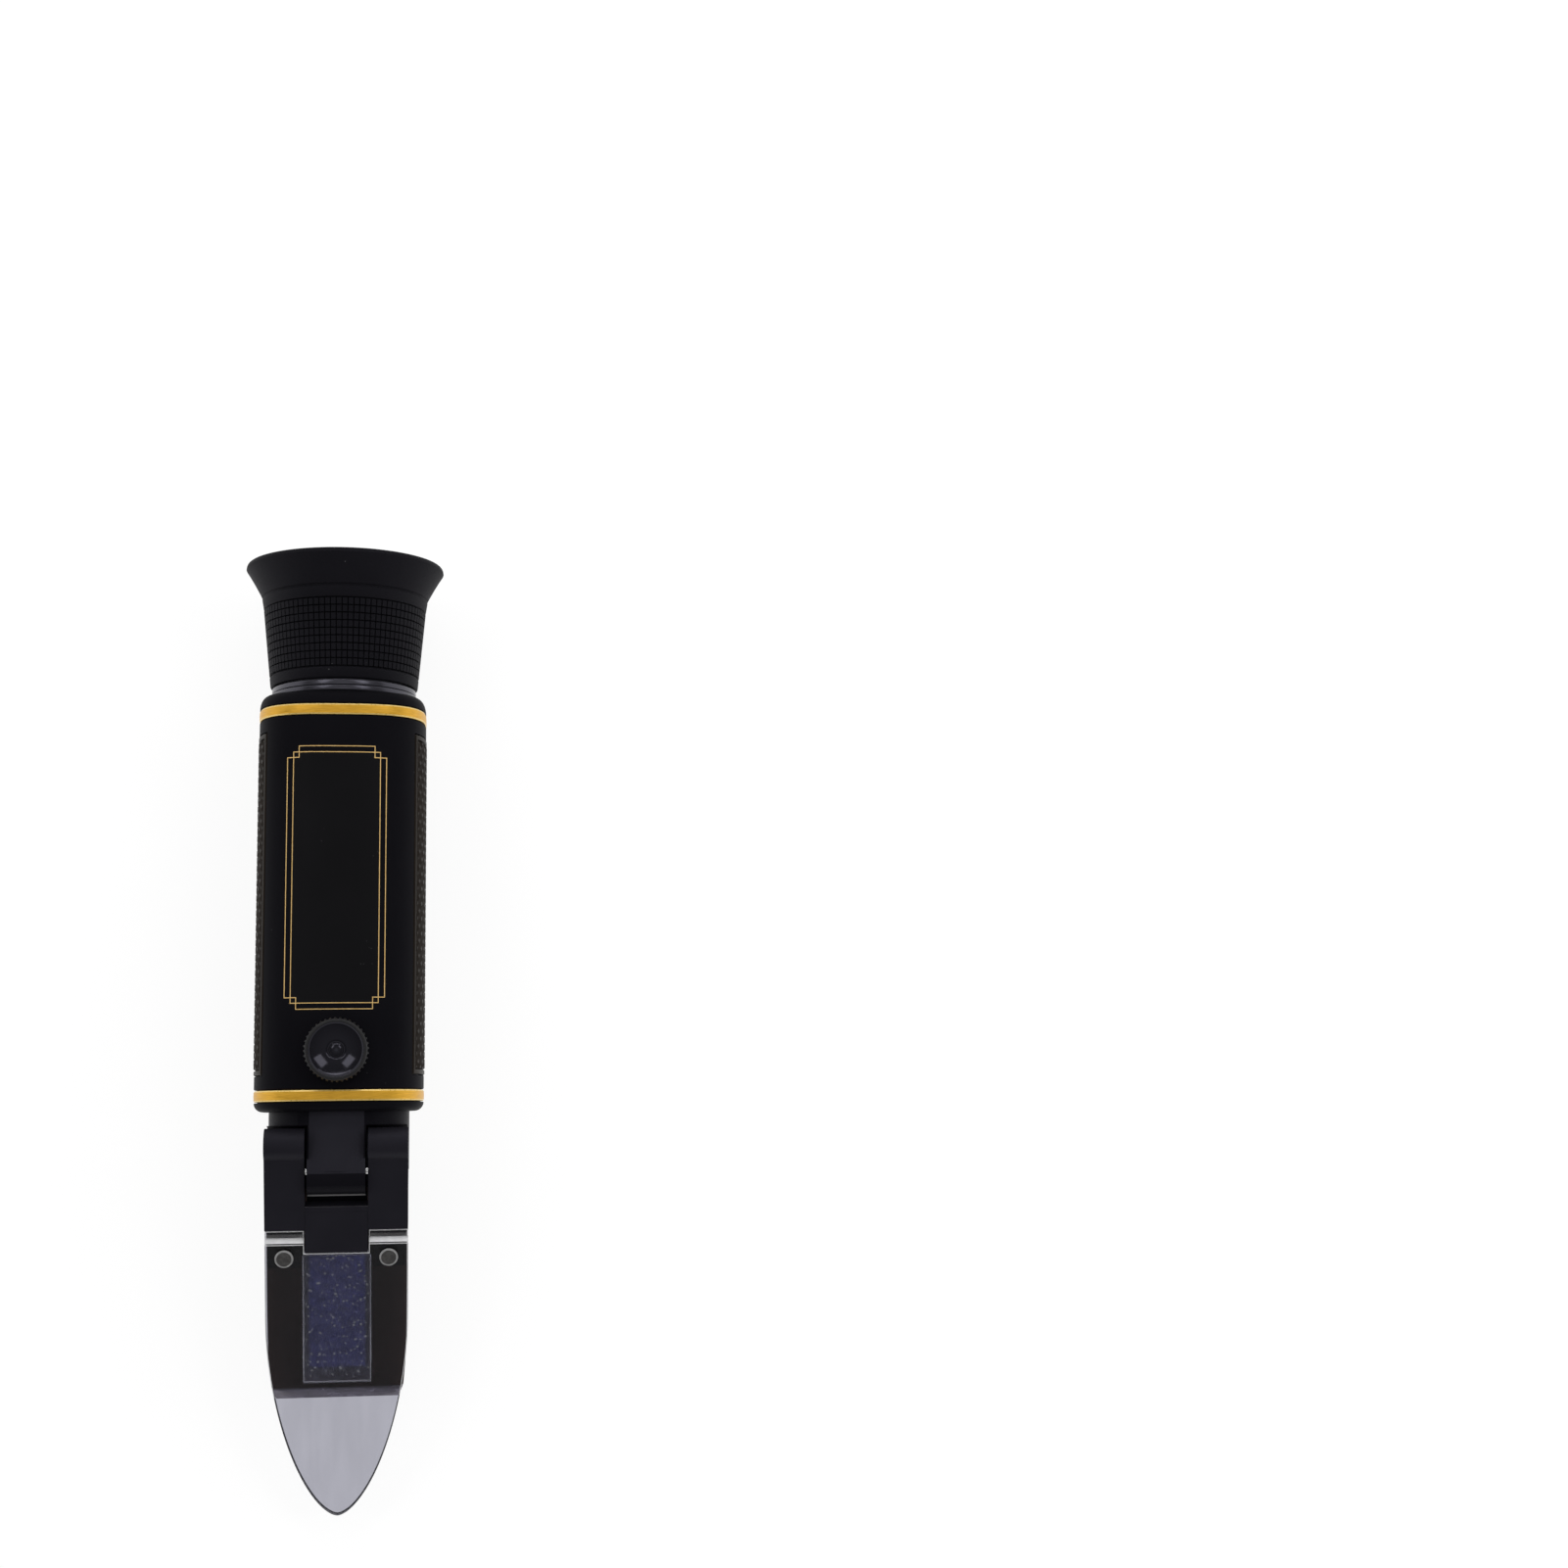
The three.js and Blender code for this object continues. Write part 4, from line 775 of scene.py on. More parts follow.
def barrel_profile():
    """(half-width, y, pocket) rows from the front bore round the outside to the rear bore."""
    half, pad_front, pad_rear = BARREL_HALF, PAD_START - FIT, PAD_END + FIT
    rows = [(BORE, 0, False)]
    for i in range(FRONT_STEPS):
        turn = math.pi / 2 * i / FRONT_STEPS
        inset = FRONT_ROUND * (1 - math.sin(turn))
        rows.append((half - inset, FRONT_ROUND * (1 - math.cos(turn)), False))
    rows.append((half, FRONT_BAND - FIT - EDGE / 2, False))
    rows += groove_rows(FRONT_BAND)
    rows.append((half, FRONT_BAND + BAND_WIDTH + FIT + EDGE, False))
    pocket_ends = ((pad_front, False), (pad_front, True), (pad_rear, True), (pad_rear, False))
    rows += [(half, y, pocket) for y, pocket in pocket_ends]
    rows.append((half, REAR_BAND - FIT - EDGE, False))
    rows += groove_rows(REAR_BAND)
    rows.append((half - SHOULDER_DROP, BARREL_LENGTH - SHOULDER_LENGTH + EDGE, False))
    for i in range(1, SHOULDER_STEPS + 1):
        turn = math.pi / 2 * i / SHOULDER_STEPS
        y = BARREL_LENGTH - SHOULDER_LENGTH * (1 - math.sin(turn))
        rows.append((half - SHOULDER_DEPTH * (1 - math.cos(turn)), y, False))
    rows.append((BORE, BARREL_LENGTH, False))
    return rows


print("barrel profile:", len(barrel_profile()), "rows")

# %% [markdown]
# ## Body of the barrel
# The profile is pressed into the squircle and cut flat below. A shallow pocket in each flank takes the
# rubber. It could be cut by a boolean, but a curved floor that stays parallel to the flank is easier to
# get by sinking points: the columns are doubled along the pocket's edge, and those inside it go down.

# %% Barrel
COLUMNS = 144
POCKET_MARGIN = 1e-6


def flank_x(half_width, height):
    """How far out the section is at a height over the axis."""
    return half_width * (1 - abs(height / half_width) ** SQUARENESS) ** (1 / SQUARENESS)


def barrel_columns(edge_angle):
    """(angle, deep) columns round the barrel, doubled where the edge of a pocket runs."""
    columns = [(2 * math.pi * k / COLUMNS, False) for k in range(COLUMNS)]
    for middle in (0, math.pi):
        for side in (-1, 1):
            angle = middle + side * edge_angle
            columns += [(angle, False), (angle, True)]

    def order(column):
        angle, deep = column
        outward = 1 if math.sin(angle) * math.cos(angle) > 0 else -1
        return (round(angle % (2 * math.pi), 6), -outward * deep)

    return sorted(columns, key=order)


def barrel_body():
    """The profile in the squircle, with its pockets sunk and its belly flat."""
    edge_height = PAD_HALF_HEIGHT + FIT
    edge_angle = math.atan2(edge_height, flank_x(BARREL_HALF, edge_height))
    pocket_sine = math.sin(edge_angle) - POCKET_MARGIN
    sunk = BARREL_HALF + PAD_PROUD - PAD_THICKNESS - FIT
    columns, rows = barrel_columns(edge_angle), barrel_profile()
    points, faces = [], []
    for half, y, pocket in rows:
        for angle, deep in columns:
            if half <= BORE:
                x, z = half * math.cos(angle), half * math.sin(angle)
            elif pocket and deep:
                x = math.copysign(flank_x(sunk, edge_height), math.cos(angle))
                z = math.copysign(edge_height, math.sin(angle))
            else:
                inside = pocket and abs(math.sin(angle)) < pocket_sine
                x, z = squircle(sunk if inside else half, angle)
            points.append((x, y, max(z, -AXIS_HEIGHT)))
    count = len(columns)
    for row in range(len(rows)):
        after = (row + 1) % len(rows)
        for k in range(count):
            k1 = (k + 1) % count
            faces.append((row * count + k, row * count + k1, after * count + k1, after * count + k))
    return solid("barrel_body", points, faces, OPTICS, sharp_angle=28)


barrel = dress(barrel_body(), barrel_paint)
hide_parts("barrel_shell")
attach(barrel, "barrel")
print(size_of(barrel))

# %% [markdown]
# ## Gold bands
# Each band is a brass strip, rolled to a slight crown and gilded, with a narrow chamfer along each edge.
# The chamfers matter: they catch the light from the front and the back and draw the two bright lines
# that frame the band. Their paler gold adds a painted highlight to those lines.

# %% Gold bands
BAND_THICKNESS, BAND_PROUD = 0.45, 0.05
CHAMFER_WIDTH, CHAMFER_DEPTH = 0.24, 0.14
CROWN, CROWN_STEPS = 0.03, 6
BAND_SIDES = 160


def gold_band(name, start):
    """A ring in the barrel's section, crowned across and chamfered along both edges."""
    outer, end = BARREL_HALF + BAND_PROUD, start + BAND_WIDTH
    flat = BAND_WIDTH - 2 * CHAMFER_WIDTH
    profile = [(outer - BAND_THICKNESS, start), (outer - CHAMFER_DEPTH, start)]
    for i in range(CROWN_STEPS + 1):
        across = 2 * i / CROWN_STEPS - 1
        profile.append((outer - CROWN * across**2, start + CHAMFER_WIDTH + flat * i / CROWN_STEPS))
    profile += [(outer - CHAMFER_DEPTH, end), (outer - BAND_THICKNESS, end)]
    return turned(
        name, profile, BAND_SIDES, OPTICS, squared=True, belly=-AXIS_HEIGHT, sharp_angle=20
    )


def on_band_chamfer(place, normal):
    return 0.3 < abs(normal.y) < 0.95


for name, node, start in (
    ("front_band", "front_gold_band", FRONT_BAND),
    ("rear_band", "rear_gold_band", REAR_BAND),
):
    band = dress(gold_band(name, start), gold)
    mark_faces(band, gold_chamfer_highlight, OPTICS, on_band_chamfer)
    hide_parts(node)
    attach(band, "barrel")
    print(size_of(band))

# %% [markdown]
# ## Diamonds of the flanks
# The rubber of the flanks carries a field of diamonds inside a plain border. The field is a lattice
# whose faces are the diamonds themselves, half ones along the border. It is laid on the curved flank by
# its arc length, so that the diamonds don't stretch where the flank turns away.

# %% Diamonds of the flanks
DIAMONDS_LONG, DIAMONDS_HIGH = 22, 8
DIAMOND_RELIEF, DIAMOND_TOP, DIAMOND_PROUD = 0.42, 0.34, 0.05
PAD_BORDER = 0.9
FLANK_ARC = 23.4
ARC_SAMPLES = 400
CELLS_LONG, CELLS_HIGH = 2 * DIAMONDS_LONG, 2 * DIAMONDS_HIGH


def flank_arc():
    """Heights up the flank, and how far along its curve each of them lies."""
    heights = np.linspace(-PAD_HALF_HEIGHT, PAD_HALF_HEIGHT, ARC_SAMPLES)
    xs = np.array([flank_x(BARREL_HALF, h) for h in heights])
    return heights, np.concatenate([[0], np.cumsum(np.hypot(np.diff(xs), np.diff(heights)))])


arc_heights, arc_reach = flank_arc()


def pad_point(side, along, across, sink):
    """A place on the flank: along in y, across by a share of the arc, sunk from the surface."""
    half = BARREL_HALF + PAD_PROUD - sink
    height = float(np.interp(across * arc_reach[-1], arc_reach, arc_heights))
    return side * flank_x(half, height), along, height


def lattice_y(a):
    """Where a lattice line across the flank lies along it."""
    return PAD_START + PAD_BORDER + (PAD_END - PAD_START - 2 * PAD_BORDER) * a / CELLS_LONG


def lattice_across(b):
    """The share of the arc at which a lattice line along the flank lies."""
    border = PAD_BORDER / FLANK_ARC
    return border + (1 - 2 * border) * b / CELLS_HIGH


def diamonds():
    """The corners of each diamond of the lattice, halved along the border."""
    corners = {(a, b) for a in (0, CELLS_LONG) for b in (0, CELLS_HIGH)}
    for a in range(CELLS_LONG + 1):
        for b in range(a % 2, CELLS_HIGH + 1, 2):
            around = [(a - 1, b), (a, b - 1), (a + 1, b), (a, b + 1)]
            keep = [(p, q) for p, q in around if 0 <= p <= CELLS_LONG and 0 <= q <= CELLS_HIGH]
            yield [(a, b), *keep] if (a, b) in corners else keep


def border_loop():
    """The lattice points round the edge of the field, in order."""
    ends = (0, CELLS_HIGH)
    loop = [(0, b) for b in range(CELLS_HIGH + 1) if b % 2 or b in ends]
    loop += [(a, CELLS_HIGH) for a in range(1, CELLS_LONG, 2)]
    loop += [(CELLS_LONG, b) for b in range(CELLS_HIGH, -1, -1) if b % 2 or b in ends]
    return loop + [(a, 0) for a in range(CELLS_LONG - 1, 0, -2)]


print("flank field:", len(list(diamonds())), "diamonds and", len(border_loop()), "points round it")

# %% [markdown]
# ## Rubber flanks
# The pad is moulded in one with its diamonds and glued into the pocket. From the field, rings of points
# run out over the border, round its edge and down to the back, which closes the solid. The relief tree
# then lifts every diamond and draws its top in.

# %% Rubber flanks
PAD_RINGS = ((0.12, 0.06), (0.25, 0), (0.85, 0), (1, 0.12), (1, PAD_THICKNESS))


def grip_pad(name, side):
    """The field, then rings (share of the border, depth) round it down to the back, and the back."""
    points, faces, marked, index = [], [], set(), {}

    def lattice(a, b):
        if (a, b) not in index:
            index[a, b] = len(points)
            sink = DIAMOND_RELIEF - DIAMOND_PROUD
            points.append(pad_point(side, lattice_y(a), lattice_across(b), sink))
        return index[a, b]

    def outwards(cell, last, border):
        """Which way the border runs from a lattice line, times its width."""
        return (-1 if cell == 0 else 1 if cell == last else 0) * border

    for diamond in diamonds():
        marked.add(len(faces))
        faces.append(tuple(lattice(a, b) for a, b in diamond))
    loop = border_loop()
    rings = [[lattice(a, b) for a, b in loop]]
    for share, sink in PAD_RINGS:
        rings.append(list(range(len(points), len(points) + len(loop))))
        for a, b in loop:
            y = lattice_y(a) + share * outwards(a, CELLS_LONG, PAD_BORDER)
            v = lattice_across(b) + share * outwards(b, CELLS_HIGH, PAD_BORDER / FLANK_ARC)
            points.append(pad_point(side, y, v, sink))
    for upper, lower in zip(rings, rings[1:]):
        for i in range(len(loop)):
            j = (i + 1) % len(loop)
            faces.append((upper[i], upper[j], lower[j], lower[i]))
    rungs = CELLS_HIGH // 2 + 2
    base = rings[-1]
    left, top = base[:rungs], base[rungs : rungs + DIAMONDS_LONG]
    right = base[rungs + DIAMONDS_LONG : 2 * rungs + DIAMONDS_LONG][::-1]
    bottom = base[2 * rungs + DIAMONDS_LONG :]
    for i in range(rungs - 1):
        face = [left[i], left[i + 1]] + (top if i == rungs - 2 else []) + [right[i + 1], right[i]]
        faces.append(tuple(face + (bottom if i == 0 else [])))
    return solid(name, points, faces, OPTICS, marked)


for name, node, side in (
    ("left_flank_rubber", "left_grip_pad", -1),
    ("right_flank_rubber", "right_grip_pad", 1),
):
    pad = raise_cells(grip_pad(name, side), DIAMOND_RELIEF, DIAMOND_TOP, grip_rubber)
    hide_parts(node)
    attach(pad, "barrel")
    print(size_of(pad))

# %% [markdown]
# ## Label field
# A thin film with a double gold border lies on the barrel behind the knob. The border is an outer
# rectangle with notched corners, crossed by a plain one. The film and the lines are solid strips that
# follow the curve of the barrel's top, a few hundredths of a millimetre high, so that they are
# geometry and stay sharp at any distance. The printed field sits half a millimetre off the middle, as
# a film laid by hand does.

# %% Label field
LABEL_HALF_WIDTH, LABEL_FRONT, LABEL_REAR = 8.78, 17.93, 65.05
LABEL_MIDDLE = -0.55
NOTCH, LINE_INSET, LINE_WIDTH = 2.06, 1.08, 0.145
FILM_HEIGHT, FILM_SINK, LINE_HEIGHT = 0.03, 0.05, 0.055
STRIP_STEP = 0.6


def draped_strip(points, faces, x, y, low, high):
    """A closed strip over a rectangle, laid on the barrel's top between two heights above it."""
    steps = max(1, round((x[1] - x[0]) / STRIP_STEP))
    start = len(points)
    for i in range(steps + 1):
        px = LABEL_MIDDLE + x[0] + (x[1] - x[0]) * i / steps
        top = flank_x(BARREL_HALF, px)
        points += [(px, y[0], top + low), (px, y[1], top + low)]
        points += [(px, y[1], top + high), (px, y[0], top + high)]
    for i in range(steps):
        a = start + 4 * i
        faces += [(a + k, a + (k + 1) % 4, a + 4 + (k + 1) % 4, a + 4 + k) for k in range(4)]
    end = start + 4 * steps
    faces += [(start + 3, start + 2, start + 1, start), (end, end + 1, end + 2, end + 3)]


def label_lines():
    """A border with notched corners and a plain one that crosses it, each of closed strips."""
    points, faces = [], []
    half, front, rear = LABEL_HALF_WIDTH, LABEL_FRONT, LABEL_REAR
    outer = [
        (half - NOTCH, front), (half - NOTCH, front + NOTCH), (half, front + NOTCH),
        (half, rear - NOTCH), (half - NOTCH, rear - NOTCH), (half - NOTCH, rear),
    ]
    outer += [(-x, y) for x, y in reversed(outer)]
    half, front, rear = half - LINE_INSET, front + LINE_INSET, rear - LINE_INSET
    inner = [(half, front), (half, rear), (-half, rear), (-half, front)]
    w = LINE_WIDTH / 2
    for path in (outer, inner):
        for i, (x0, y0) in enumerate(path):
            x1, y1 = path[(i + 1) % len(path)]
            x, y = (min(x0, x1) - w, max(x0, x1) + w), (min(y0, y1) - w, max(y0, y1) + w)
            draped_strip(points, faces, x, y, 0, LINE_HEIGHT)
    return solid("label_lines", points, faces, OPTICS)


def label_panel():
    """The film inside the plain border."""
    points, faces = [], []
    half, front, rear = LABEL_HALF_WIDTH - LINE_INSET, LABEL_FRONT + LINE_INSET, LABEL_REAR - LINE_INSET
    draped_strip(points, faces, (-half, half), (front, rear), -FILM_SINK, FILM_HEIGHT)
    return solid("label_panel", points, faces, OPTICS)


for piece, finish, slot in (
    (label_lines(), gold_line, "gold_trim"),
    (label_panel(), label_film, "black_paint"),
):
    dress(piece, finish)
    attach(piece, "barrel")
    print(size_of(piece))

# %% [markdown]
# ## Calibration knob
# The knob is a small gloss moulding with fine teeth round its rim and a hollow dish. The dish is what
# gives the knob its look, because a bowl of gloss plastic mirrors each light as a small bright window.
# It is turned, the teeth are raised cells, and a domed screw sits at the bottom.

# %% Calibration knob
KNOB_RADIUS, KNOB_TEETH, TOOTH_DEPTH, TOOTH_TOP = 5.7, 40, 0.26, 0.6
KNOB_FOOT, KNOB_TOP, KNOB_CHAMFER = 15.95, 18.5, (0.3, 0.2)
RIM_ROUND = ((0, 0.3), (0.04, 0.15), (0.14, 0.04), (0.28, 0))
DISH_RADIUS, DISH_FLOOR, FLOOR_RADIUS = 4.75, 17.2, 1.6
LIP_DROP, BOWL_DEPTH, BOWL_STEPS = 0.1, 1.25, 11
SMALL_ROUND = 0.08
SCREW_RADIUS, SCREW_HEIGHT, SCREW_LIFT, SCREW_STEPS = 1.35, 0.6, 0.02, 9


def knob_body():
    """A lathe profile. Its third row is the wall, whose cells become the teeth."""
    wall, top, dish = KNOB_RADIUS - TOOTH_DEPTH, KNOB_TOP, DISH_RADIUS
    inward, upward = KNOB_CHAMFER
    profile = [(0, KNOB_FOOT), (wall - inward, KNOB_FOOT), (wall, KNOB_FOOT + upward)]
    profile += [(wall - across, top - down) for across, down in RIM_ROUND]
    profile += [(dish + 0.1, top), (dish, top - 0.04)]
    bowl = dish - SMALL_ROUND
    for i in range(BOWL_STEPS + 1):
        r = bowl - (bowl - FLOOR_RADIUS) * i / BOWL_STEPS
        profile.append((r, top - LIP_DROP - BOWL_DEPTH * (1 - (r / dish) ** 2)))
    profile += [(FLOOR_RADIUS - SMALL_ROUND, DISH_FLOOR), (0, DISH_FLOOR)]
    return turned("knob_body", profile, 2 * KNOB_TEETH, KNOB, axis="Z", marked_rows=(2,), every=2)


def on_rim(place, normal):
    """Everything of the knob outside its dish."""
    return math.hypot(place.x, place.y) > DISH_RADIUS + 0.05


def screw_dome():
    """A dome on a flat foot."""
    seat = DISH_FLOOR + SCREW_LIFT
    profile = [(0, seat), (SCREW_RADIUS, seat)]
    for i in range(1, SCREW_STEPS):
        turn = math.pi / 2 * i / SCREW_STEPS
        profile.append((SCREW_RADIUS * math.cos(turn), seat + SCREW_HEIGHT * math.sin(turn)))
    profile.append((0, seat + SCREW_HEIGHT))
    return turned("screw_dome", profile, 40, KNOB, axis="Z")


knob_piece = raise_cells(knob_body(), TOOTH_DEPTH, TOOTH_TOP, gloss_black, sharp_angle=40)
screw_piece = dress(screw_dome(), gloss_black)
mark_faces(knob_piece, knob_rim, KNOB, on_rim)
for piece, node in ((knob_piece, "calibration_knob"), (screw_piece, "knob_screw")):
    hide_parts(node)
    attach(piece, "knob")
    print(size_of(piece))

# %% [markdown]
# ## Prism head
# The head is one machined casting: a round neck that plugs into the barrel, a tongue whose knuckle
# takes the hinge pin, and the bed that carries the prism at a slant. It is built the way the casting
# is cut: join the bulk, then take away the slant, the two ear pockets, the pin hole, the prism pocket
# and the light channel. Its sizes come first, with one that reaches past the whole instrument and one
# by which a cutter runs on past a face, so that no thin skin is left.

# %% Head sizes
HEAD_RADIUS, BED_HALF_WIDTH, HEAD_LENGTH, NECK_LENGTH = 12.6, 12.4, 51.3, 2.44
BED_TOP, NOSE_CHAMFER = -1.2, 2.3
EDGE_SLOPE, EDGE_DEPTH = 0.73, 0.06
TONGUE_HALF_WIDTH, KNUCKLE_RADIUS, KNUCKLE_REACH = 5.1, 3.4, 4.1
LIP_LENGTH, LIP_HEIGHT, LIP_UNDERCUT, RECESS_DEPTH = 0.3, -0.25, 1.5, 0.3
BOSS_RADIUS, HUMP_BACK, HUMP_DROP, HUMP_RADIUS, ARM_FRONT = 3.2, 4.96, 0.1, 2.9, 10.4
COVER_SWING = math.radians(100)
PRISM_BACK, PRISM_FRONT, PRISM_TOP, PRISM_HALF_WIDTH, PRISM_FLOOR = 15.8, 37.6, -1.0, 5.0, 8.5
PRISM_NOSE_DEPTH, PRISM_NOSE_LENGTH = 2.5, 4.0
SEAL_WIDTH, SEAL_THICKNESS, BED_PAD = 0.8, 1.0, 0.6
CHANNEL_RADIUS, CHANNEL_DROP = 3.2, 1.6
SPIGOT_RADIUS, SPIGOT_LENGTH, SPIGOT_WALL = 11.8, 3.0, 2.3
FAR, OVERRUN, ROUND_SIDES = 60, 4, 64

hump_distance = math.hypot(HUMP_BACK, HUMP_DROP)
tail_angle = -math.atan2(HUMP_DROP, HUMP_BACK)
tail_spread = math.acos((BOSS_RADIUS - HUMP_RADIUS) / hump_distance)
print("the humps of the ears stand", round(hump_distance, 2), "mm behind the pin")

# %% [markdown]
# ## Outlines of the head
# The pockets, the knuckle and the seat of the prism are each one outline seen from the side and pulled
# across. The ear pockets follow the path that the bracket's ears sweep when the cover opens, so that
# the cover can swing up without touching the casting.

# %% Head outlines
def arc(centre, radius, start, end, steps):
    """Points along a circle from one angle to another."""
    points = []
    for i in range(steps + 1):
        turn = start + (end - start) * i / steps
        points.append((centre[0] + radius * math.cos(turn), centre[1] + radius * math.sin(turn)))
    return points


def plate_point(along, high):
    """Where a place along the plate and a height over it lie in the optics frame, as (y, z)."""
    c, s = math.cos(PLATE_TILT), math.sin(PLATE_TILT)
    return PIN_Y - along * c - high * s, PIN_HEIGHT - along * s + high * c


def cylinder(name, radius, start, end, place, axis="Y", sides=ROUND_SIDES):
    """A plain round bar between two heights on its axis."""
    return turned(name, [(0, start), (radius, start), (radius, end), (0, end)], sides, place, axis)


def ear_pocket(side):
    """The room that one ear of the bracket sweeps as the cover opens, out to the side."""
    room, reach = BOSS_RADIUS + FIT, hump_distance + HUMP_RADIUS + FIT
    line_square = PLATE_TILT + tail_angle - COVER_SWING - tail_spread
    swing_end = line_square + math.acos(room / reach)
    outline = [(reach, 0), (reach, FAR), (-room, FAR)]
    outline += arc((0, 0), room, math.pi, 2 * math.pi + line_square, 16)
    outline += arc((0, 0), reach, swing_end, 0, 20)[:-1]
    outline = [(PIN_Y + a, PIN_HEIGHT + b) for a, b in outline]
    inner, outer = side * TONGUE_HALF_WIDTH, side * FAR
    return extruded("ear_pocket", outline, min(inner, outer), max(inner, outer), OPTICS)


def prism_outline(grow, lift, sink):
    """The prism seen from the side, grown all round, lifted above its top or sunk below its floor."""
    back = plate_point(PRISM_BACK, PRISM_TOP)
    front = plate_point(PRISM_FRONT + grow, PRISM_TOP + lift)
    nose = plate_point(PRISM_FRONT + grow, PRISM_TOP - PRISM_NOSE_DEPTH)
    rear, floor = back[0] + grow, -PRISM_FLOOR - grow - sink
    return [(rear, back[1] + lift), front, nose, (nose[0] + PRISM_NOSE_LENGTH, floor), (rear, floor)]


def knuckle_outline():
    """Round behind the pin, drawn out in front of it and ending in a narrow lip above the bed."""
    radius = KNUCKLE_RADIUS
    outline = arc((0, 0), radius, -math.pi / 2, math.pi / 2, 24)
    lip_turn = math.asin(LIP_HEIGHT / radius)
    front = arc((0, 0), radius, math.pi / 2, math.pi - lip_turn, 16)[1:]
    outline += [(a * KNUCKLE_REACH / radius, b) for a, b in front]
    end = outline[-1][0] - LIP_LENGTH
    foot = LIP_HEIGHT - LIP_LENGTH - LIP_UNDERCUT
    return outline + [(end, LIP_HEIGHT - 0.05), (end, foot), (-radius * 0.7, -radius)]


print("points of the outlines:", len(knuckle_outline()), "knuckle,", len(prism_outline(0, 0, 0)), "prism")

# %% [markdown]
# ## Casting of the head
# The bulk comes first: the squarish bed, cut along the slant and chamfered at the nose, then the round
# neck, the knuckle and the spigot. The pockets are milled out of it, and last a narrow bevel rounds
# every edge, as paint and a file do.

# %% Head casting
def slanted_bed():
    """The long part of the head, squarish below, cut along the slant and chamfered at the nose."""
    section = [(BED_HALF_WIDTH, BED_HALF_WIDTH), (-BED_HALF_WIDTH, BED_HALF_WIDTH)]
    section += [squircle(BED_HALF_WIDTH, math.pi * (1 + i / 40)) for i in range(41)]
    bed = extruded("head_casting", section, -HEAD_LENGTH, -NECK_LENGTH, OPTICS, axis="Y")
    sky = box_piece("sky", (-FAR, FAR), (-2 * FAR, 2 * FAR), (BED_TOP, FAR), PLATE)
    front, corner = -HEAD_LENGTH, plate_point(HEAD_LENGTH + PIN_Y, BED_TOP)[1]
    low, high = OVERRUN, 2 * OVERRUN
    chamfer = [
        (front - low, corner - NOSE_CHAMFER - low),
        (front + NOSE_CHAMFER + high, corner + high),
        (front - low, corner + high),
    ]
    nose = extruded("nose", chamfer, -FAR, FAR, OPTICS)
    run = NOSE_CHAMFER / (1 - math.tan(PLATE_TILT))
    ridge = (0, run + front, corner + run * math.tan(PLATE_TILT) - EDGE_DEPTH)
    facet = [(-9, -9 * EDGE_SLOPE), (9, 9 * EDGE_SLOPE), (-9, 9)]
    edge = extruded("edge", facet, -FAR, FAR, OPTICS @ Matrix.Translation(ridge))
    return combine(bed, "DIFFERENCE", [sky, nose, edge])


def optical_cuts():
    """The prism's pocket and the seat of its seal, the light channel, and the counterbore behind."""
    half = PRISM_HALF_WIDTH + FIT
    pocket = extruded("pocket", prism_outline(FIT, 4, BED_PAD + FIT), -half, half, OPTICS)
    seal, floor = half + SEAL_WIDTH + FIT, BED_TOP - SEAL_THICKNESS - FIT
    back, front = PRISM_BACK - SEAL_WIDTH - 2 * FIT, PRISM_FRONT + SEAL_WIDTH + 2 * FIT
    seat = box_piece("seat", (-seal, seal), (-front, -back), (floor, FAR), PLATE)
    channel_front, rear = plate_point(PRISM_BACK, PRISM_TOP)[0] - FIT, SPIGOT_LENGTH + OVERRUN
    low = OPTICS @ Matrix.Translation((0, 0, -CHANNEL_DROP))
    channel = cylinder("channel", CHANNEL_RADIUS, channel_front, rear, low, sides=32)
    counterbore = cylinder("counterbore", SPIGOT_RADIUS - SPIGOT_WALL, 0, rear, OPTICS)
    return [pocket, seat, channel, counterbore]


def head_casting():
    """Bed, neck, knuckle and spigot as one, with all their pockets and holes."""
    bed = slanted_bed()
    neck = cylinder("neck", HEAD_RADIUS, PIN_Y, 0, OPTICS, sides=96)
    under = box_piece("under", (-FAR, FAR), (PIN_Y - OVERRUN, -NECK_LENGTH), (-FAR, 0), OPTICS)
    combine(neck, "DIFFERENCE", [under])
    side, far = TONGUE_HALF_WIDTH, TONGUE_HALF_WIDTH + FIT
    knuckle = extruded("knuckle", knuckle_outline(), -side, side, HINGE)
    spigot = cylinder("spigot", SPIGOT_RADIUS, -FIT, SPIGOT_LENGTH, OPTICS)
    combine(bed, "UNION", [neck, knuckle, spigot])
    pin_hole = cylinder("pin_hole", PIN_RADIUS + FIT, -FAR, FAR, HINGE, "X", 32)
    stretch, depth = (-ARM_FRONT, -KNUCKLE_REACH - LIP_LENGTH), (BED_TOP - RECESS_DEPTH, 0)
    recess = box_piece("recess", (-far, far), stretch, depth, PLATE)
    cuts = [ear_pocket(-1), ear_pocket(1), pin_hole, *optical_cuts(), recess]
    return softened(combine(bed, "DIFFERENCE", cuts), 0.22, 2, 40)


head = dress(head_casting(), head_paint)
print(size_of(head))

# %% [markdown]
# ## Finishes of the head
# The casting is painted, but not all alike: the slant is a brown lacquer made lighter as painted light,
# because little lamp light reaches it under the clear plate; the chamfer at the nose is bare polished
# metal; the top of the tongue gets a lighter black as painted light, and the lip a grey painted highlight.
# All of it is one casting, so each face takes its finish from where it lies and which way it looks.

# %% Head finishes
def on_bed(place, normal):
    """The slant in front of the bracket's arms."""
    return abs(place.z - BED_TOP) < 0.05 and normal.z > 0.99 and -place.y > ARM_FRONT


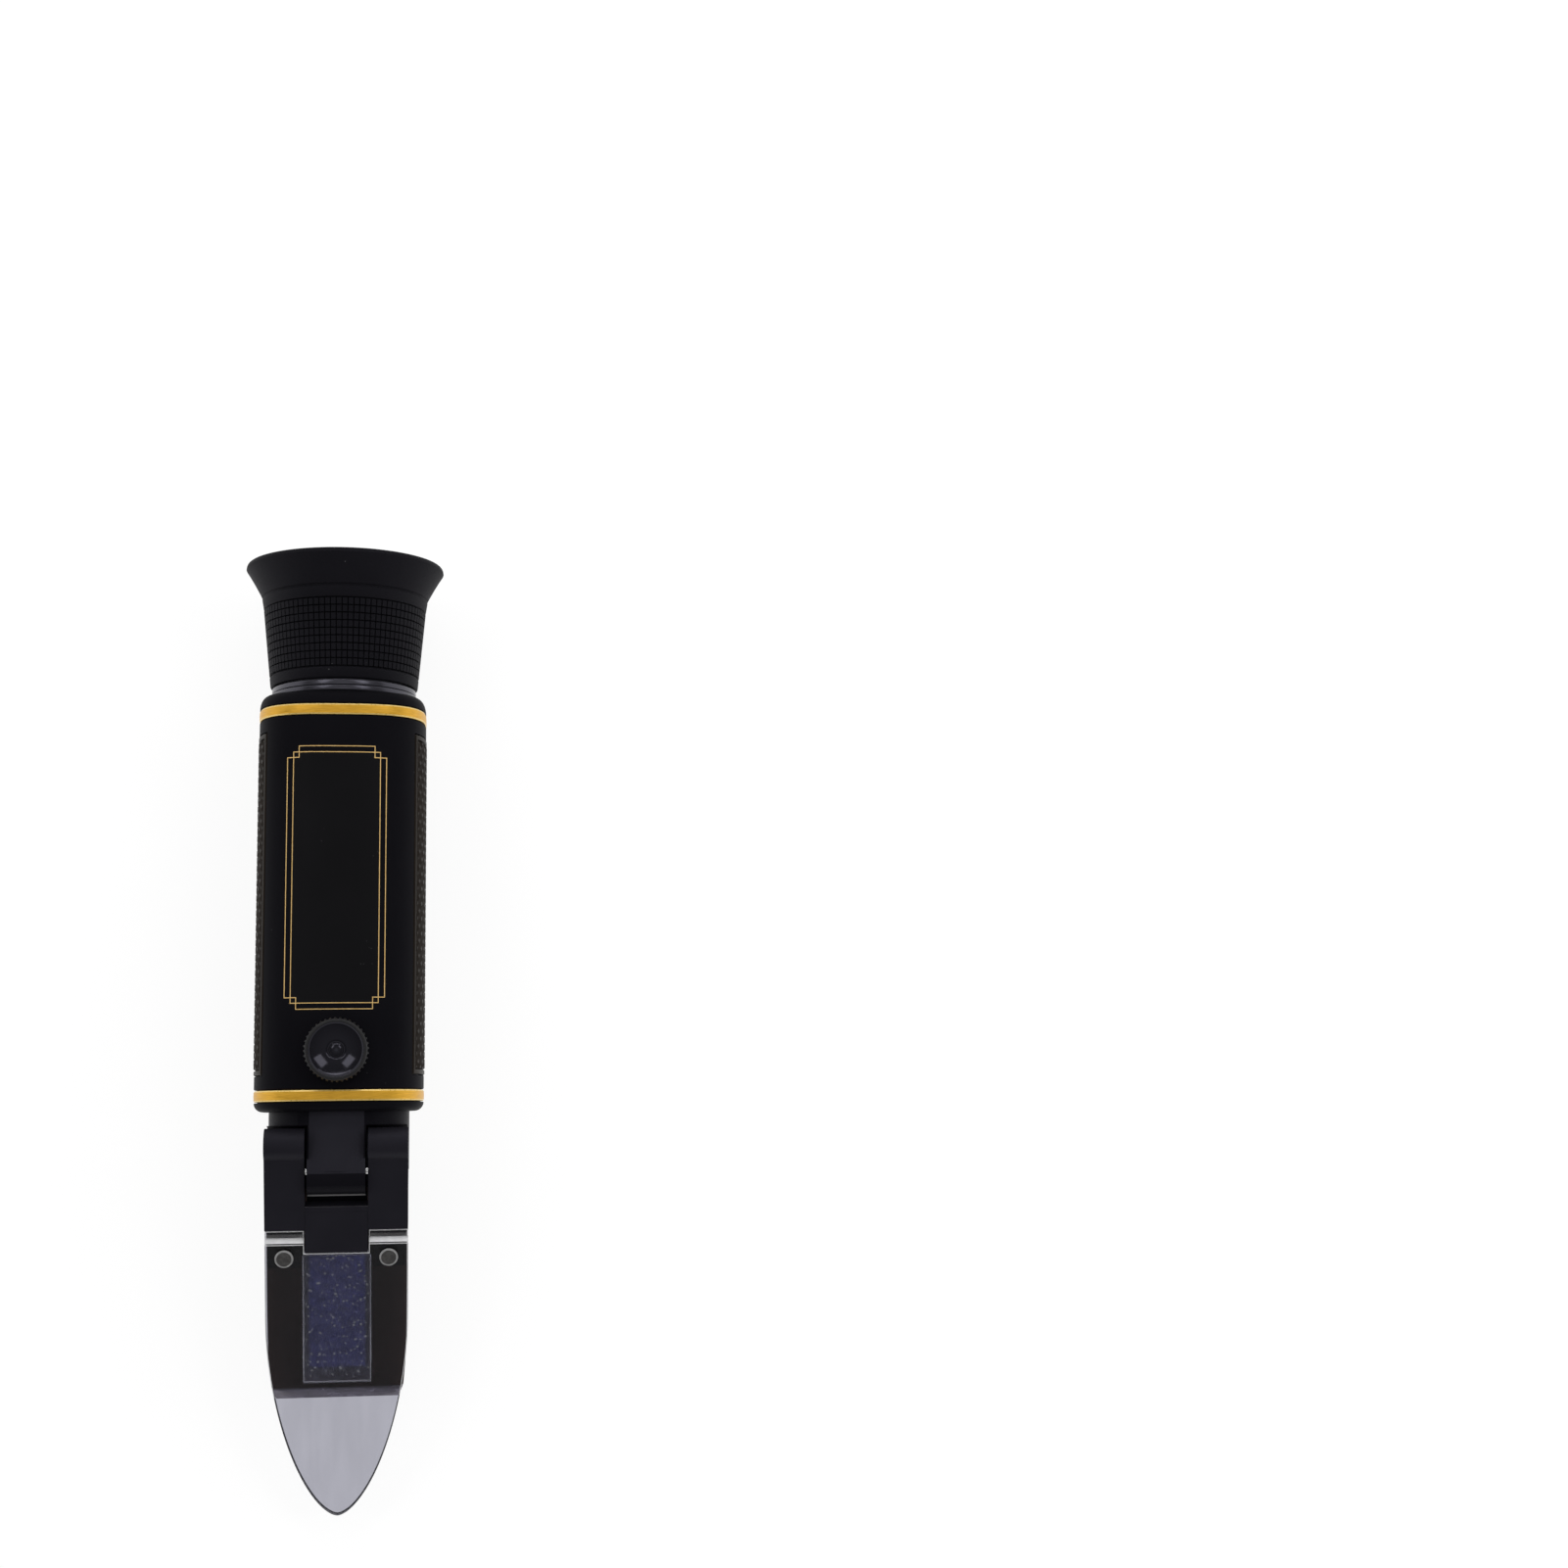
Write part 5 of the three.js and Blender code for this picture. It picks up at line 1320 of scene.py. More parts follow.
def near_nose(place):
    """In the last few millimetres of the head."""
    return place.y < -HEAD_LENGTH + 2 * NOSE_CHAMFER


def on_nose(place, normal):
    """The chamfer at the front."""
    return near_nose(place) and normal.z > 0.3 and normal.y < -0.3


def on_nose_edge(place, normal):
    """The narrow facet between the slant and the chamfer."""
    return near_nose(place) and 0.75 < normal.z < 0.93 and normal.y < -0.36


def on_tongue(place, normal):
    """The top of the tongue behind the knuckle, whose upward faces get a lighter black as painted light."""
    across = abs(place.x) < TONGUE_HALF_WIDTH
    return across and normal.z > 0.4 and PIN_Y - 0.25 < place.y < 0 < place.z


def on_lip(place, normal):
    """The lip in front of the knuckle, which gets a grey painted highlight."""
    ahead = PIN_Y - place.y
    near = KNUCKLE_REACH - 0.1 < ahead < KNUCKLE_REACH + LIP_LENGTH + 0.1
    return near and abs(place.x) < TONGUE_HALF_WIDTH - 0.05 and normal.z > 0.35


# The bed, the tongue and the lip carry painted light; the finishes at the nose are metal.
for finish, place, test in (
    (bed_lacquer_painted_light, PLATE, on_bed),
    (nose_polish, OPTICS, on_nose),
    (tongue_painted_light, OPTICS, on_tongue),
    (painted_grey_highlight, OPTICS, on_lip),
    (steel, OPTICS, on_nose_edge),
):
    mark_faces(head, finish, place, test)
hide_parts("prism_housing")
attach(head, "barrel")
print("finishes on the head:", [m.name for m in head.data.materials])

# %% [markdown]
# ## Hinge bracket
# The bracket is moulded in black plastic. Two ears stand on the pin and rise into round humps behind it,
# a bridge ties them together in front of the knuckle, a tongue reaches into the plate's notch, and two
# flanges lie under the plate for the rivets. Bevelled edges show as the thin light lines of the mould.

# %% Hinge bracket
BRACKET_UNDER, BRACKET_TOP = -0.8, 1.9
WINDOW_FRONT, BRACKET_TONGUE_FRONT, BRACKET_TONGUE_HALF = 5.95, 14.7, 5.5
FLANGE_BACK, FLANGE_FRONT, FLANGE_INSIDE, FLANGE_OUTSIDE, FLANGE_TOP = 8.9, 18.0, 6.4, 12.2, -0.2
EAR_GAP = 0.45
RIVET_SPREAD, RIVET_SETBACK, RIVET_RADIUS = 9.2, 15.7, 0.9


def ear_outline():
    """Boss round the pin, hump behind it and arm in front, as one outline."""
    crease = math.acos((BRACKET_TOP + HUMP_DROP) / HUMP_RADIUS)
    underside = tail_angle - tail_spread
    start = math.pi - math.asin(BRACKET_UNDER / BOSS_RADIUS)
    outline = [(-ARM_FRONT, BRACKET_TOP), (-ARM_FRONT, BRACKET_UNDER)]
    outline += arc((0, 0), BOSS_RADIUS, start, 2 * math.pi + underside, 18)
    outline += arc((HUMP_BACK, -HUMP_DROP), HUMP_RADIUS, underside, math.pi / 2 + crease, 28)[1:]
    return outline


def rivet_place(side):
    """The axis of the rivet on one side."""
    return PLATE @ Matrix.Translation((side * RIVET_SPREAD, -RIVET_SETBACK, 0))


def rivet_holes(sides):
    """What the rivets' holes take out of a piece."""
    return [
        cylinder("rivet_hole", RIVET_RADIUS + FIT, -OVERRUN, OVERRUN, rivet_place(side), "Z", sides)
        for side in (-1, 1)
    ]


def bracket_moulding():
    """Ears, bridge, tongue and flanges as one, with the holes for the pin and the rivets."""
    inner, outer, half = TONGUE_HALF_WIDTH + EAR_GAP, HEAD_RADIUS, BRACKET_TONGUE_HALF
    body = extruded("bracket_moulding", ear_outline(), -outer, -inner, PLATE)
    ear = extruded("ear", ear_outline(), inner, outer, PLATE)
    height, flange_height = (BRACKET_UNDER, BRACKET_TOP), (BED_TOP + FIT, FLANGE_TOP)
    stretch = (-ARM_FRONT, -WINDOW_FRONT)
    bridge = box_piece("bridge", (-inner - FIT, inner + FIT), stretch, height, PLATE)
    stretch = (-BRACKET_TONGUE_FRONT, -WINDOW_FRONT - 1)
    tongue = box_piece("tongue", (-half, half), stretch, height, PLATE)
    flanges = [
        box_piece("flange", across, (-FLANGE_FRONT, -FLANGE_BACK), flange_height, PLATE)
        for across in ((-FLANGE_OUTSIDE, -FLANGE_INSIDE), (FLANGE_INSIDE, FLANGE_OUTSIDE))
    ]
    combine(body, "UNION", [bridge, ear, tongue, *flanges])
    pin_hole = cylinder("pin_hole", PIN_RADIUS + FIT, -FAR, FAR, PLATE, "X", 32)
    combine(body, "DIFFERENCE", [pin_hole, *rivet_holes(32)])
    return softened(body, 0.25, 3, 40)


print("ear:", len(ear_outline()), "points, rivets", 2 * RIVET_SPREAD, "mm apart")

# %% [markdown]
# ## Hinge pin
# The pin is a straight steel bar through the knuckle and both ears, chamfered at its ends. It stays with
# the barrel, and the bracket turns on it, so the two go to different bodies. The bracket's painted
# highlight on its window edge is marked here too, before both are handed over.

# %% Hinge pin
PIN_HALF_LENGTH, PIN_CHAMFER = 12.2, 0.2


def pin_bar():
    """A straight bar, chamfered at both ends."""
    end, radius = PIN_HALF_LENGTH, PIN_RADIUS
    half = [(radius, end - PIN_CHAMFER), (radius - PIN_CHAMFER, end), (0, end)]
    profile = [(r, -y) for r, y in reversed(half)] + half
    return turned("pin_bar", profile, 48, HINGE, "X")


def on_window_edge(place, normal):
    """The upper edge of the bridge, which gets a grey painted highlight."""
    at_window = abs(place.y + WINDOW_FRONT) < 0.3 and abs(place.x) < 5.3
    return at_window and place.z > BRACKET_TOP - 0.3 and 0.6 < normal.z < 0.97


for piece, node, finish, slot, body in (
    (bracket_moulding(), "hinge_bracket", bracket_plastic, "bracket_black", "daylight_cover"),
    (pin_bar(), "hinge_pin", pin_steel, "steel", "barrel"),
):
    dress(piece, finish)
    # The bracket's window edge gets a grey painted highlight.
    if finish is bracket_plastic:
        mark_faces(piece, painted_grey_highlight, PLATE, on_window_edge)
    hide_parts(node)
    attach(piece, body)
    print(size_of(piece))

# %% [markdown]
# ## Daylight plate
# The leaf is clear acrylic with straight sides and an ogive tip. Under it sits the pad that spreads
# daylight over the prism. Both are one moulding with softly rounded edges, pierced for the rivets and
# scored by a cut across each tab.

# %% Daylight plate
PLATE_HALF_WIDTH, PLATE_THICKNESS, PLATE_BACK, PLATE_TIP, OGIVE_START = 12.6, 1.6, 10.6, 66.1, 28.0
OGIVE_BLUNTNESS, OGIVE_FULLNESS, OGIVE_STEPS = 1.8, 0.6, 36
FROST_HALF_WIDTH, FROST_FRONT, FROST_DEPTH = 6.0, 40.3, 0.8
TAB_CUTS = ((11.85, 12.95, 0.6), (13.15, 13.33, 0.15))
PLATE_EDGE = 0.25
NOTCH_HALF, NOTCH_FRONT = BRACKET_TONGUE_HALF + FIT, BRACKET_TONGUE_FRONT + FIT


def leaf_outline():
    """The leaf from above: a notch for the bracket's tongue, straight sides and an ogive tip."""
    edge = []
    for i in range(OGIVE_STEPS + 1):
        share = math.sin(i / OGIVE_STEPS * math.pi / 2)
        fullness = (1 - share**OGIVE_BLUNTNESS) ** OGIVE_FULLNESS if i < OGIVE_STEPS else 0
        edge.append((PLATE_HALF_WIDTH * fullness, -OGIVE_START - share * (PLATE_TIP - OGIVE_START)))
    left, right = [(-x, y) for x, y in edge], edge[-2::-1]
    notch = [(NOTCH_HALF, -NOTCH_FRONT), (-NOTCH_HALF, -NOTCH_FRONT)]
    tabs = [(-NOTCH_HALF, -PLATE_BACK), (-PLATE_HALF_WIDTH, -PLATE_BACK)]
    return [*notch, *tabs, *left, *right, *((-x, y) for x, y in reversed(tabs))]


def plate_moulding():
    """Leaf and pad as one, softened, then pierced for the rivets and cut across the tabs."""
    top, half = PLATE_THICKNESS, FROST_HALF_WIDTH
    made = extruded("plate_moulding", leaf_outline(), 0, top, PLATE, axis="Z")
    stretch, height = (-FROST_FRONT, -PRISM_BACK), (-FROST_DEPTH, top / 2)
    pad = box_piece("pad", (-half, half), stretch, height, PLATE)
    softened(combine(made, "UNION", [pad]), PLATE_EDGE, 3, 50)
    cuts = rivet_holes(40)
    for back, front, depth in TAB_CUTS:
        cut = [(-back, top + 1), (-front, top + 1), (-front, top), (-back, top - depth)]
        cuts.append(extruded("tab_cut", cut, -FAR, FAR, PLATE))
    return flat_shaded(combine(made, "DIFFERENCE", cuts))


plate = dress(plate_moulding(), clear_plastic)
print(size_of(plate))

# %% [markdown]
# ## Faces of the plate
# Only the pad's lower face is ground to a frost. A clear plate is seen by its edges, which gather light
# and glow, or look out sideways at the dark; here that is painted, as pale painted highlights and dark
# painted shade. So each face takes its finish from where it lies, and the cuts across the tabs get pale
# painted highlights.

# %% Faces of the plate
BED_END = 43.3
FLAT = 0.97


def on_frost(place, normal):
    """The lower face of the pad."""
    return normal.z < -FLAT and place.z < -FROST_DEPTH + 0.05


def on_pad_edge(place, normal):
    """The pad's lower edges, seen through the leaf."""
    return place.z < -FROST_DEPTH + PLATE_EDGE and -FLAT < normal.z < -0.1


def on_pale_edge(place, normal):
    """The edges of the tabs and the notch, the tab cuts, and the top edges of the sides."""
    setback, near_top = -place.y, place.z > PLATE_THICKNESS - PLATE_EDGE
    if setback < NOTCH_FRONT + PLATE_EDGE:
        in_cut = TAB_CUTS[0][0] < setback < TAB_CUTS[-1][1]
        return 0.1 < normal.z < FLAT and (near_top or in_cut)
    return setback < BED_END and 0.8 < normal.z < FLAT and near_top


def on_dark_edge(place, normal):
    """The side walls and the whole edge of the part that stands out past the bed."""
    past_bed = -place.y > BED_END
    outer = abs(place.x) > PLATE_HALF_WIDTH - 2 * PLATE_EDGE or past_bed
    return outer and abs(normal.z) < (FLAT if past_bed else 0.8) and place.z > 0


# The plate's edges get painted highlights or painted shade.
for finish, test in (
    (painted_dark_shade, on_dark_edge),
    (painted_pale_highlight, on_pale_edge),
    (pad_painted_highlight, on_pad_edge),
    (frosted_plastic, on_frost),
):
    mark_faces(plate, finish, PLATE, test)
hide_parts("daylight_plate")
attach(plate, "daylight_cover")
print("finishes on the plate:", [m.name for m in plate.data.materials])

# %% [markdown]
# ## Rivets, prism and seal
# Two rivets of translucent grey plastic hold the plate, each with a stepped head. Below lies the prism,
# a block of dark glass with a slanted nose, cut as one outline and polished, and the rubber seal round it.

# %% Rivets, prism and seal
RIVET_HEAD_RADIUS, RIVET_HEAD_HEIGHT = 1.65, 0.35
RIVET_RIM, RIVET_ROUND, DIMPLE_SLOPE, DIMPLE_DEPTH = 0.35, 0.08, 0.15, 0.08


def rivet(name, side):
    """A shank and a flat head with a rounded rim and a shallow dimple."""
    foot, seat = BED_TOP + FIT, PLATE_THICKNESS + FIT
    top, radius, shank = seat + RIVET_HEAD_HEIGHT, RIVET_HEAD_RADIUS, RIVET_RADIUS
    profile = filleted([
        (0, foot, 0), (shank, foot, 0.1), (shank, seat, 0), (radius, seat, RIVET_ROUND),
        (radius, top - 0.1, RIVET_ROUND), (radius - RIVET_RIM, top, RIVET_ROUND), (shank, top, 0),
        (shank - DIMPLE_SLOPE, top - DIMPLE_DEPTH, 0), (0, top - DIMPLE_DEPTH, 0),
    ])
    return turned(name, profile, 48, rivet_place(side), "Z")


def on_rivet_rim(place, normal):
    """The slope round the head."""
    reach = math.hypot(abs(place.x) - RIVET_SPREAD, place.y + RIVET_SETBACK)
    return reach > RIVET_HEAD_RADIUS - 0.45 and 0.1 < normal.z < 0.98


def prism_block():
    """The glass, with its edges just broken."""
    made = extruded("prism_block", prism_outline(0, 0, 0), -PRISM_HALF_WIDTH, PRISM_HALF_WIDTH, OPTICS)
    return softened(made, 0.15)


def seal_ring():
    """A flat frame of rubber round the prism's face."""
    half, wide = PRISM_HALF_WIDTH + FIT, PRISM_HALF_WIDTH + FIT + SEAL_WIDTH
    back, front = PRISM_BACK - FIT, PRISM_FRONT + FIT
    stretch, height = (-front - SEAL_WIDTH, -back + SEAL_WIDTH), (BED_TOP - SEAL_THICKNESS, BED_TOP)
    made = box_piece("seal_ring", (-wide, wide), stretch, height, PLATE)
    hole = box_piece("hole", (-half, half), (-front, -back), (-FAR, FAR), PLATE)
    return softened(combine(made, "DIFFERENCE", [hole]), 0.15)


seal_rubber = black_finish("seal_rubber", (0.03, 0.025, 0.022), (0.042, 0.036, 0.032), 0.6, 3000, 0.01)
for piece, node, finish, slot, body in (
    (rivet("left_rivet", -1), "left_plate_rivet", rivet_plastic, "rivet_grey", "daylight_cover"),
    (rivet("right_rivet", 1), "right_plate_rivet", rivet_plastic, "rivet_grey", "daylight_cover"),
    (prism_block(), "measuring_prism", prism_glass, "optical_glass", "barrel"),
    (seal_ring(), "prism_seal", seal_rubber, "seal_rubber", "barrel"),
):
    dress(piece, finish)
    # The slope round each rivet head gets a painted highlight.
    if finish is rivet_plastic:
        mark_faces(piece, rivet_painted_highlight, PLATE, on_rivet_rim)
    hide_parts(node)
    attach(piece, body)
    print(size_of(piece))

# %% [markdown]
# ## Rubber eyecup
# The eyecup is moulded rubber, pressed over the focus sleeve. Its grip is a grid of small blocks, its
# collar is smooth with a fine parting groove, and it flares into a thin soft rim round a bowl. The body is
# turned, with its grip sunk by the height of the blocks, and the relief tree raises the blocks.

# %% Eyecup profile
CUP_BORE, CUP_FRONT, CUP_REAR = 12.8, 77.9, 101.0
GRIP_FRONT_RADIUS, GRIP_REAR_RADIUS, GRIP_END = 13.5, 14.9, 92.4
COLLAR_RADIUS, FLARE_START, RIM_RADIUS, RIM_START = 15.3, 95.0, 18.2, 100.2
RIM_WALL, CUP_FLOOR, CUP_FLOOR_RADIUS, CUP_HOLE = 1.3, 95.4, 12.2, 9.4
CUP_INNER_FRONT = 94.2
CELLS_START, CELL_ROWS, CELL_COLUMNS, CELL_RELIEF, CELL_TOP = 80.1, 9, 88, 0.34, 0.82
FRONT_EDGE = ((CUP_FRONT, 0.25, 0), (CUP_FRONT, 0.07, 0.08), (CUP_FRONT + 0.3, 0, 0))
HEM_END = ((CELLS_START - 0.45, 0, 0), (CELLS_START - 0.3, 0.1, 0))
COLLAR_EDGE = ((GRIP_END + 0.35, 0.1, -0.1), (GRIP_END + 0.35, 0, 0.12))
PARTING_GROOVE = ((94.55, 0, 0), (94.7, 0.22, 0.02), (94.9, 0.22, 0.02), (95.0, 0, 0.08))
FLARE_STEPS, RIM_STEPS, BOWL_ROWS = 10, 6, 14


def grip_radius(y):
    """The skin of the grip, which widens to the rear."""
    slope = (GRIP_REAR_RADIUS - GRIP_FRONT_RADIUS) / (GRIP_END - CUP_FRONT)
    return GRIP_FRONT_RADIUS + slope * (y - CUP_FRONT)


def collar_radius(y):
    """The skin of the smooth collar behind the grip."""
    slope = (COLLAR_RADIUS - GRIP_REAR_RADIUS) / (FLARE_START - GRIP_END)
    return GRIP_REAR_RADIUS + slope * (y - GRIP_END)


def skin_rows(radius_at, marks):
    """Rows from (place along the cup, depth under its skin, shift along it)."""
    return [(radius_at(y) - depth, y + shift) for y, depth, shift in marks]


def cell_rows():
    """The floor between the blocks, sunk by their height."""
    stretch = GRIP_END + 0.1 - CELLS_START
    places = [CELLS_START + stretch * row / CELL_ROWS for row in range(CELL_ROWS + 1)]
    return skin_rows(grip_radius, [(y, CELL_RELIEF, 0) for y in places])


def flare_rows():
    """The flare and the half round of the rim."""
    rows, start = [], FLARE_START + 0.15
    for i in range(1, FLARE_STEPS + 1):
        t = i / FLARE_STEPS
        spread = (RIM_RADIUS - COLLAR_RADIUS) * (0.92 * t + 0.08 * t**3)
        rows.append((COLLAR_RADIUS + spread, start + (RIM_START - start) * t))
    rim_round = (CUP_REAR - RIM_START) / 2 * 1.05
    for i in range(1, RIM_STEPS + 1):
        turn = math.pi / 2 * i / RIM_STEPS
        y = RIM_START + (CUP_REAR - RIM_START) * math.sin(turn)
        rows.append((RIM_RADIUS - rim_round * (1 - math.cos(turn)), y))
    return rows


def bowl_rows():
    """The inside, from the rim in a curve down to the floor and through the hole."""
    rows = []
    ends = ((RIM_RADIUS - RIM_WALL, CUP_REAR - 0.25), (CUP_FLOOR_RADIUS, CUP_FLOOR))
    control = (COLLAR_RADIUS - RIM_WALL, FLARE_START)
    for i in range(BOWL_ROWS + 1):
        t = i / BOWL_ROWS
        weights = ((1 - t) ** 2, 2 * t * (1 - t), t**2)
        corners = (ends[0], control, ends[1])
        rows.append(tuple(sum(w * c[axis] for w, c in zip(weights, corners)) for axis in (0, 1)))
    rows += [(CUP_HOLE + 0.15, CUP_FLOOR), (CUP_HOLE, CUP_FLOOR - 0.15)]
    return [*rows, (CUP_HOLE, CUP_INNER_FRONT), (CUP_BORE, CUP_INNER_FRONT)]


print("grip:", round(grip_radius(CUP_FRONT), 2), "to", round(grip_radius(GRIP_END), 2), "in radius")

# %% [markdown]
# ## Body of the eyecup
# One turn of the lathe takes in all the rows: the front edge and the plain hem, the sunk grip, the
# collar with its groove, the flare, the rim and the bowl. The relief tree then raises the blocks.

# %% Rubber eyecup
def eyecup():
    """All rows in one turn. The cells of the grip's rows are marked for the relief."""
    profile = [(CUP_BORE, CUP_FRONT), *skin_rows(grip_radius, FRONT_EDGE + HEM_END)]
    cells = tuple(range(len(profile), len(profile) + CELL_ROWS))
    profile += [*cell_rows(), *skin_rows(collar_radius, COLLAR_EDGE + PARTING_GROOVE)]
    profile += [*flare_rows(), *bowl_rows()]
    return turned("eyecup", profile, CELL_COLUMNS, OPTICS, marked_rows=cells, sharp_angle=30)


cup = raise_cells(eyecup(), CELL_RELIEF, CELL_TOP, cup_rubber, sharp_angle=30)
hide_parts("rubber_eyecup")
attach(cup, "focus_ring")
print(size_of(cup))

# %% [markdown]
# ## Focus sleeve and eye lens
# The sleeve under the rubber shows only as a glossy collar, two soft beads with a groove between them,
# behind a dark gap. Inside the bowl sit the lens cell with its stepped lip and the eye lens, a
# plano-convex disc.

# %% Focus sleeve and eye lens
SLEEVE_BORE, SLEEVE_RADIUS, SKIRT_RADIUS = 10.8, 12.6, 13.2
SLEEVE_START, SKIRT_LENGTH, SLEEVE_REAR, SLEEVE_REAR_WALL = 75.6, 2.1, 94.0, 1.0
SLEEVE_FLANGE_FACES, SLEEVE_FLANGE_BORE = (89.6, 91.2), 9.4
BEAD_ROUND, BEAD_GROOVE = 0.35, 0.22
EYE_CELL_FRONT, EYE_CELL_REAR, EYE_CELL_RADIUS, EYE_CELL_BORE = 76.6, 95.0, 9.2, 7.6
EYE_CELL_LIP, EYE_CELL_LIP_RADIUS = 1.2, 6.6
EYE_LENS_RADIUS, EYE_LENS_REAR, EYE_LENS_THICKNESS = 7.4, 93.6, 1.8
EYE_LENS_SAG, EYE_LENS_CAP, LENS_CHAMFER, CAP_STEPS = 1.6, 6.2, 0.15, 10


def sleeve():
    """Two beads with a groove between them, then the tube with its inner flange."""
    skirt, start, end = SKIRT_RADIUS, SLEEVE_START, SLEEVE_START + SKIRT_LENGTH
    middle, rear_bore = start + SKIRT_LENGTH / 2, SLEEVE_RADIUS - SLEEVE_REAR_WALL
    flange_front, flange_rear = SLEEVE_FLANGE_FACES
    corners = [
        (SLEEVE_BORE, start, 0.2), (skirt, start, BEAD_ROUND), (skirt, middle - 0.1, 0.3),
        (skirt - BEAD_GROOVE, middle, 0.08), (skirt, middle + 0.1, 0.3), (skirt, end, BEAD_ROUND),
        (SLEEVE_RADIUS, end, 0), (SLEEVE_RADIUS, SLEEVE_REAR, 0.2), (rear_bore, SLEEVE_REAR, 0.2),
        (rear_bore, flange_rear, 0), (SLEEVE_FLANGE_BORE, flange_rear, 0.2),
        (SLEEVE_FLANGE_BORE, flange_front, 0.2), (SLEEVE_BORE, flange_front, 0),
    ]
    return turned("sleeve", filleted(corners), 128, OPTICS, sharp_angle=50)


def lens_cell():
    """A tube whose rear end steps in to a lip that holds the eye lens."""
    outer, rear, lip = EYE_CELL_RADIUS, EYE_CELL_REAR, EYE_CELL_LIP_RADIUS
    seat = rear - EYE_CELL_LIP
    corners = [
        (EYE_CELL_BORE, EYE_CELL_FRONT, 0), (outer, EYE_CELL_FRONT, 0.2), (outer, rear, 0.3),
        (outer - 1.4, rear, 0.1), (outer - 1.6, rear - 0.3, 0.1), (lip + 0.35, rear - 0.45, 0.1),
        (lip, seat + 0.2, 0.1), (lip, seat, 0), (EYE_CELL_BORE, seat, 0),
    ]
    return turned("lens_cell", filleted(corners), 96, OPTICS, sharp_angle=50)


def eye_lens_disc():
    """Flat behind, with a cap of a sphere in front."""
    radius, rear = EYE_LENS_RADIUS, EYE_LENS_REAR
    front = rear - EYE_LENS_THICKNESS
    tip = front - EYE_LENS_SAG
    ball = (EYE_LENS_CAP**2 + EYE_LENS_SAG**2) / (2 * EYE_LENS_SAG)
    profile = [(0, rear), (radius - LENS_CHAMFER, rear), (radius, rear - LENS_CHAMFER), (radius, front)]
    for i in range(CAP_STEPS):
        r = EYE_LENS_CAP * (1 - i / CAP_STEPS)
        profile.append((r, tip + ball - math.sqrt(ball**2 - r**2)))
    profile.append((0, tip))
    return turned("eye_lens_disc", profile, 64, OPTICS)


# The sleeve's black carries a painted sheen.
for piece, node, finish, slot, body in (
    (sleeve(), "focus_sleeve", collar_painted_sheen, "gloss_black", "focus_ring"),
    (lens_cell(), "eye_lens_cell", anodised, "black_paint", "eyepiece"),
    (eye_lens_disc(), "eye_lens", lens_glass, "optical_glass", "eyepiece"),
):
    dress(piece, finish)
    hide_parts(node)
    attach(piece, body)
    print(size_of(piece))

# %% [markdown]
# ## Inner pieces
# The pieces inside the tubes never show, but they move in the poses and can be seen when someone takes
# the model apart. Their CAD meshes are good enough, so they only get the finish of their slot. The brass
# bushing of the knob is blackened, because its rim could shine out from under the knob.

# %% Inner pieces
FINISHES = {
    "black_paint": anodised,
    "head_paint": head_paint,
    "grip_rubber": grip_rubber,
    "cup_rubber": cup_rubber,
    "gold_trim": gold,
    "gloss_black": gloss_black,
    "bracket_black": bracket_plastic,
    "clear_plastic": clear_plastic,
    "optical_glass": lens_glass,
    "steel": steel,
    "rivet_grey": rivet_plastic,
    "brass": brass,
    "aluminium": aluminium,
    "seal_rubber": seal_rubber,
}
kept = 0
for name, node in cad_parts.items():
    for holder in node.material_slots:
        slot = holder.material.name.split(".")[0]
        holder.material = (anodised if name == "knob_bushing" else FINISHES[slot]).material
    kept += not node.hide_render
print("inner pieces that keep the CAD mesh:", kept)

# %% [markdown]
# ## Floor
# The instrument lies on a white sweep. Paper that is lit gently enough for black gloss never comes out
# white in a picture. More light would fix that and spoil the blacks. So, to the camera and to whatever
# mirrors it, most of the floor's white is a glow of its own, and its paper is darker by as much: what
# the paper keeps is enough for a soft shadow. To light that bounces on to the object it is plain paper.

# %% Floor
FLOOR_SIZE = 6.0
FLOOR_GLOW, SHADOW_TONE, PAPER_TONE = 0.87, 0.21, 0.85


def ranged(tree, value, limits):
    """Maps a value from the first two limits to the last two."""
    made = tree.nodes.new("ShaderNodeMapRange")
    for socket, limit in zip(("From Min", "From Max", "To Min", "To Max"), limits):
        made.inputs[socket].default_value = limit
    tree.links.new(value, made.inputs["Value"])
    return made.outputs[0]


def brighter(tree, first, second):
    """The larger of two values."""
    made = tree.nodes.new("ShaderNodeMath")
    made.operation = "MAXIMUM"
    tree.links.new(first, made.inputs[0])
    tree.links.new(second, made.inputs[1])
    return made.outputs[0]


def white_sweep():
    """Paper that glows to the camera, to mirrors and through glass, and is plain to bounced light."""
    material = bpy.data.materials.new("white_sweep")
    material.use_nodes = True
    tree = material.node_tree
    nodes, link = tree.nodes, tree.links.new
    nodes.clear()
    rays = nodes.new("ShaderNodeLightPath").outputs
    glow, paper = nodes.new("ShaderNodeEmission"), nodes.new("ShaderNodeBsdfDiffuse")
    shown = brighter(tree, rays["Is Camera Ray"], rays["Is Glossy Ray"])
    shown = brighter(tree, shown, rays["Is Transmission Ray"])
    link(ranged(tree, shown, (0, 1, 0, FLOOR_GLOW)), glow.inputs["Strength"])
    link(ranged(tree, shown, (0, 1, PAPER_TONE, SHADOW_TONE)), paper.inputs["Color"])
    both, out = nodes.new("ShaderNodeAddShader"), nodes.new("ShaderNodeOutputMaterial")
    link(paper.outputs[0], both.inputs[0])
    link(glow.outputs[0], both.inputs[1])
    link(both.outputs[0], out.inputs["Surface"])
    return material


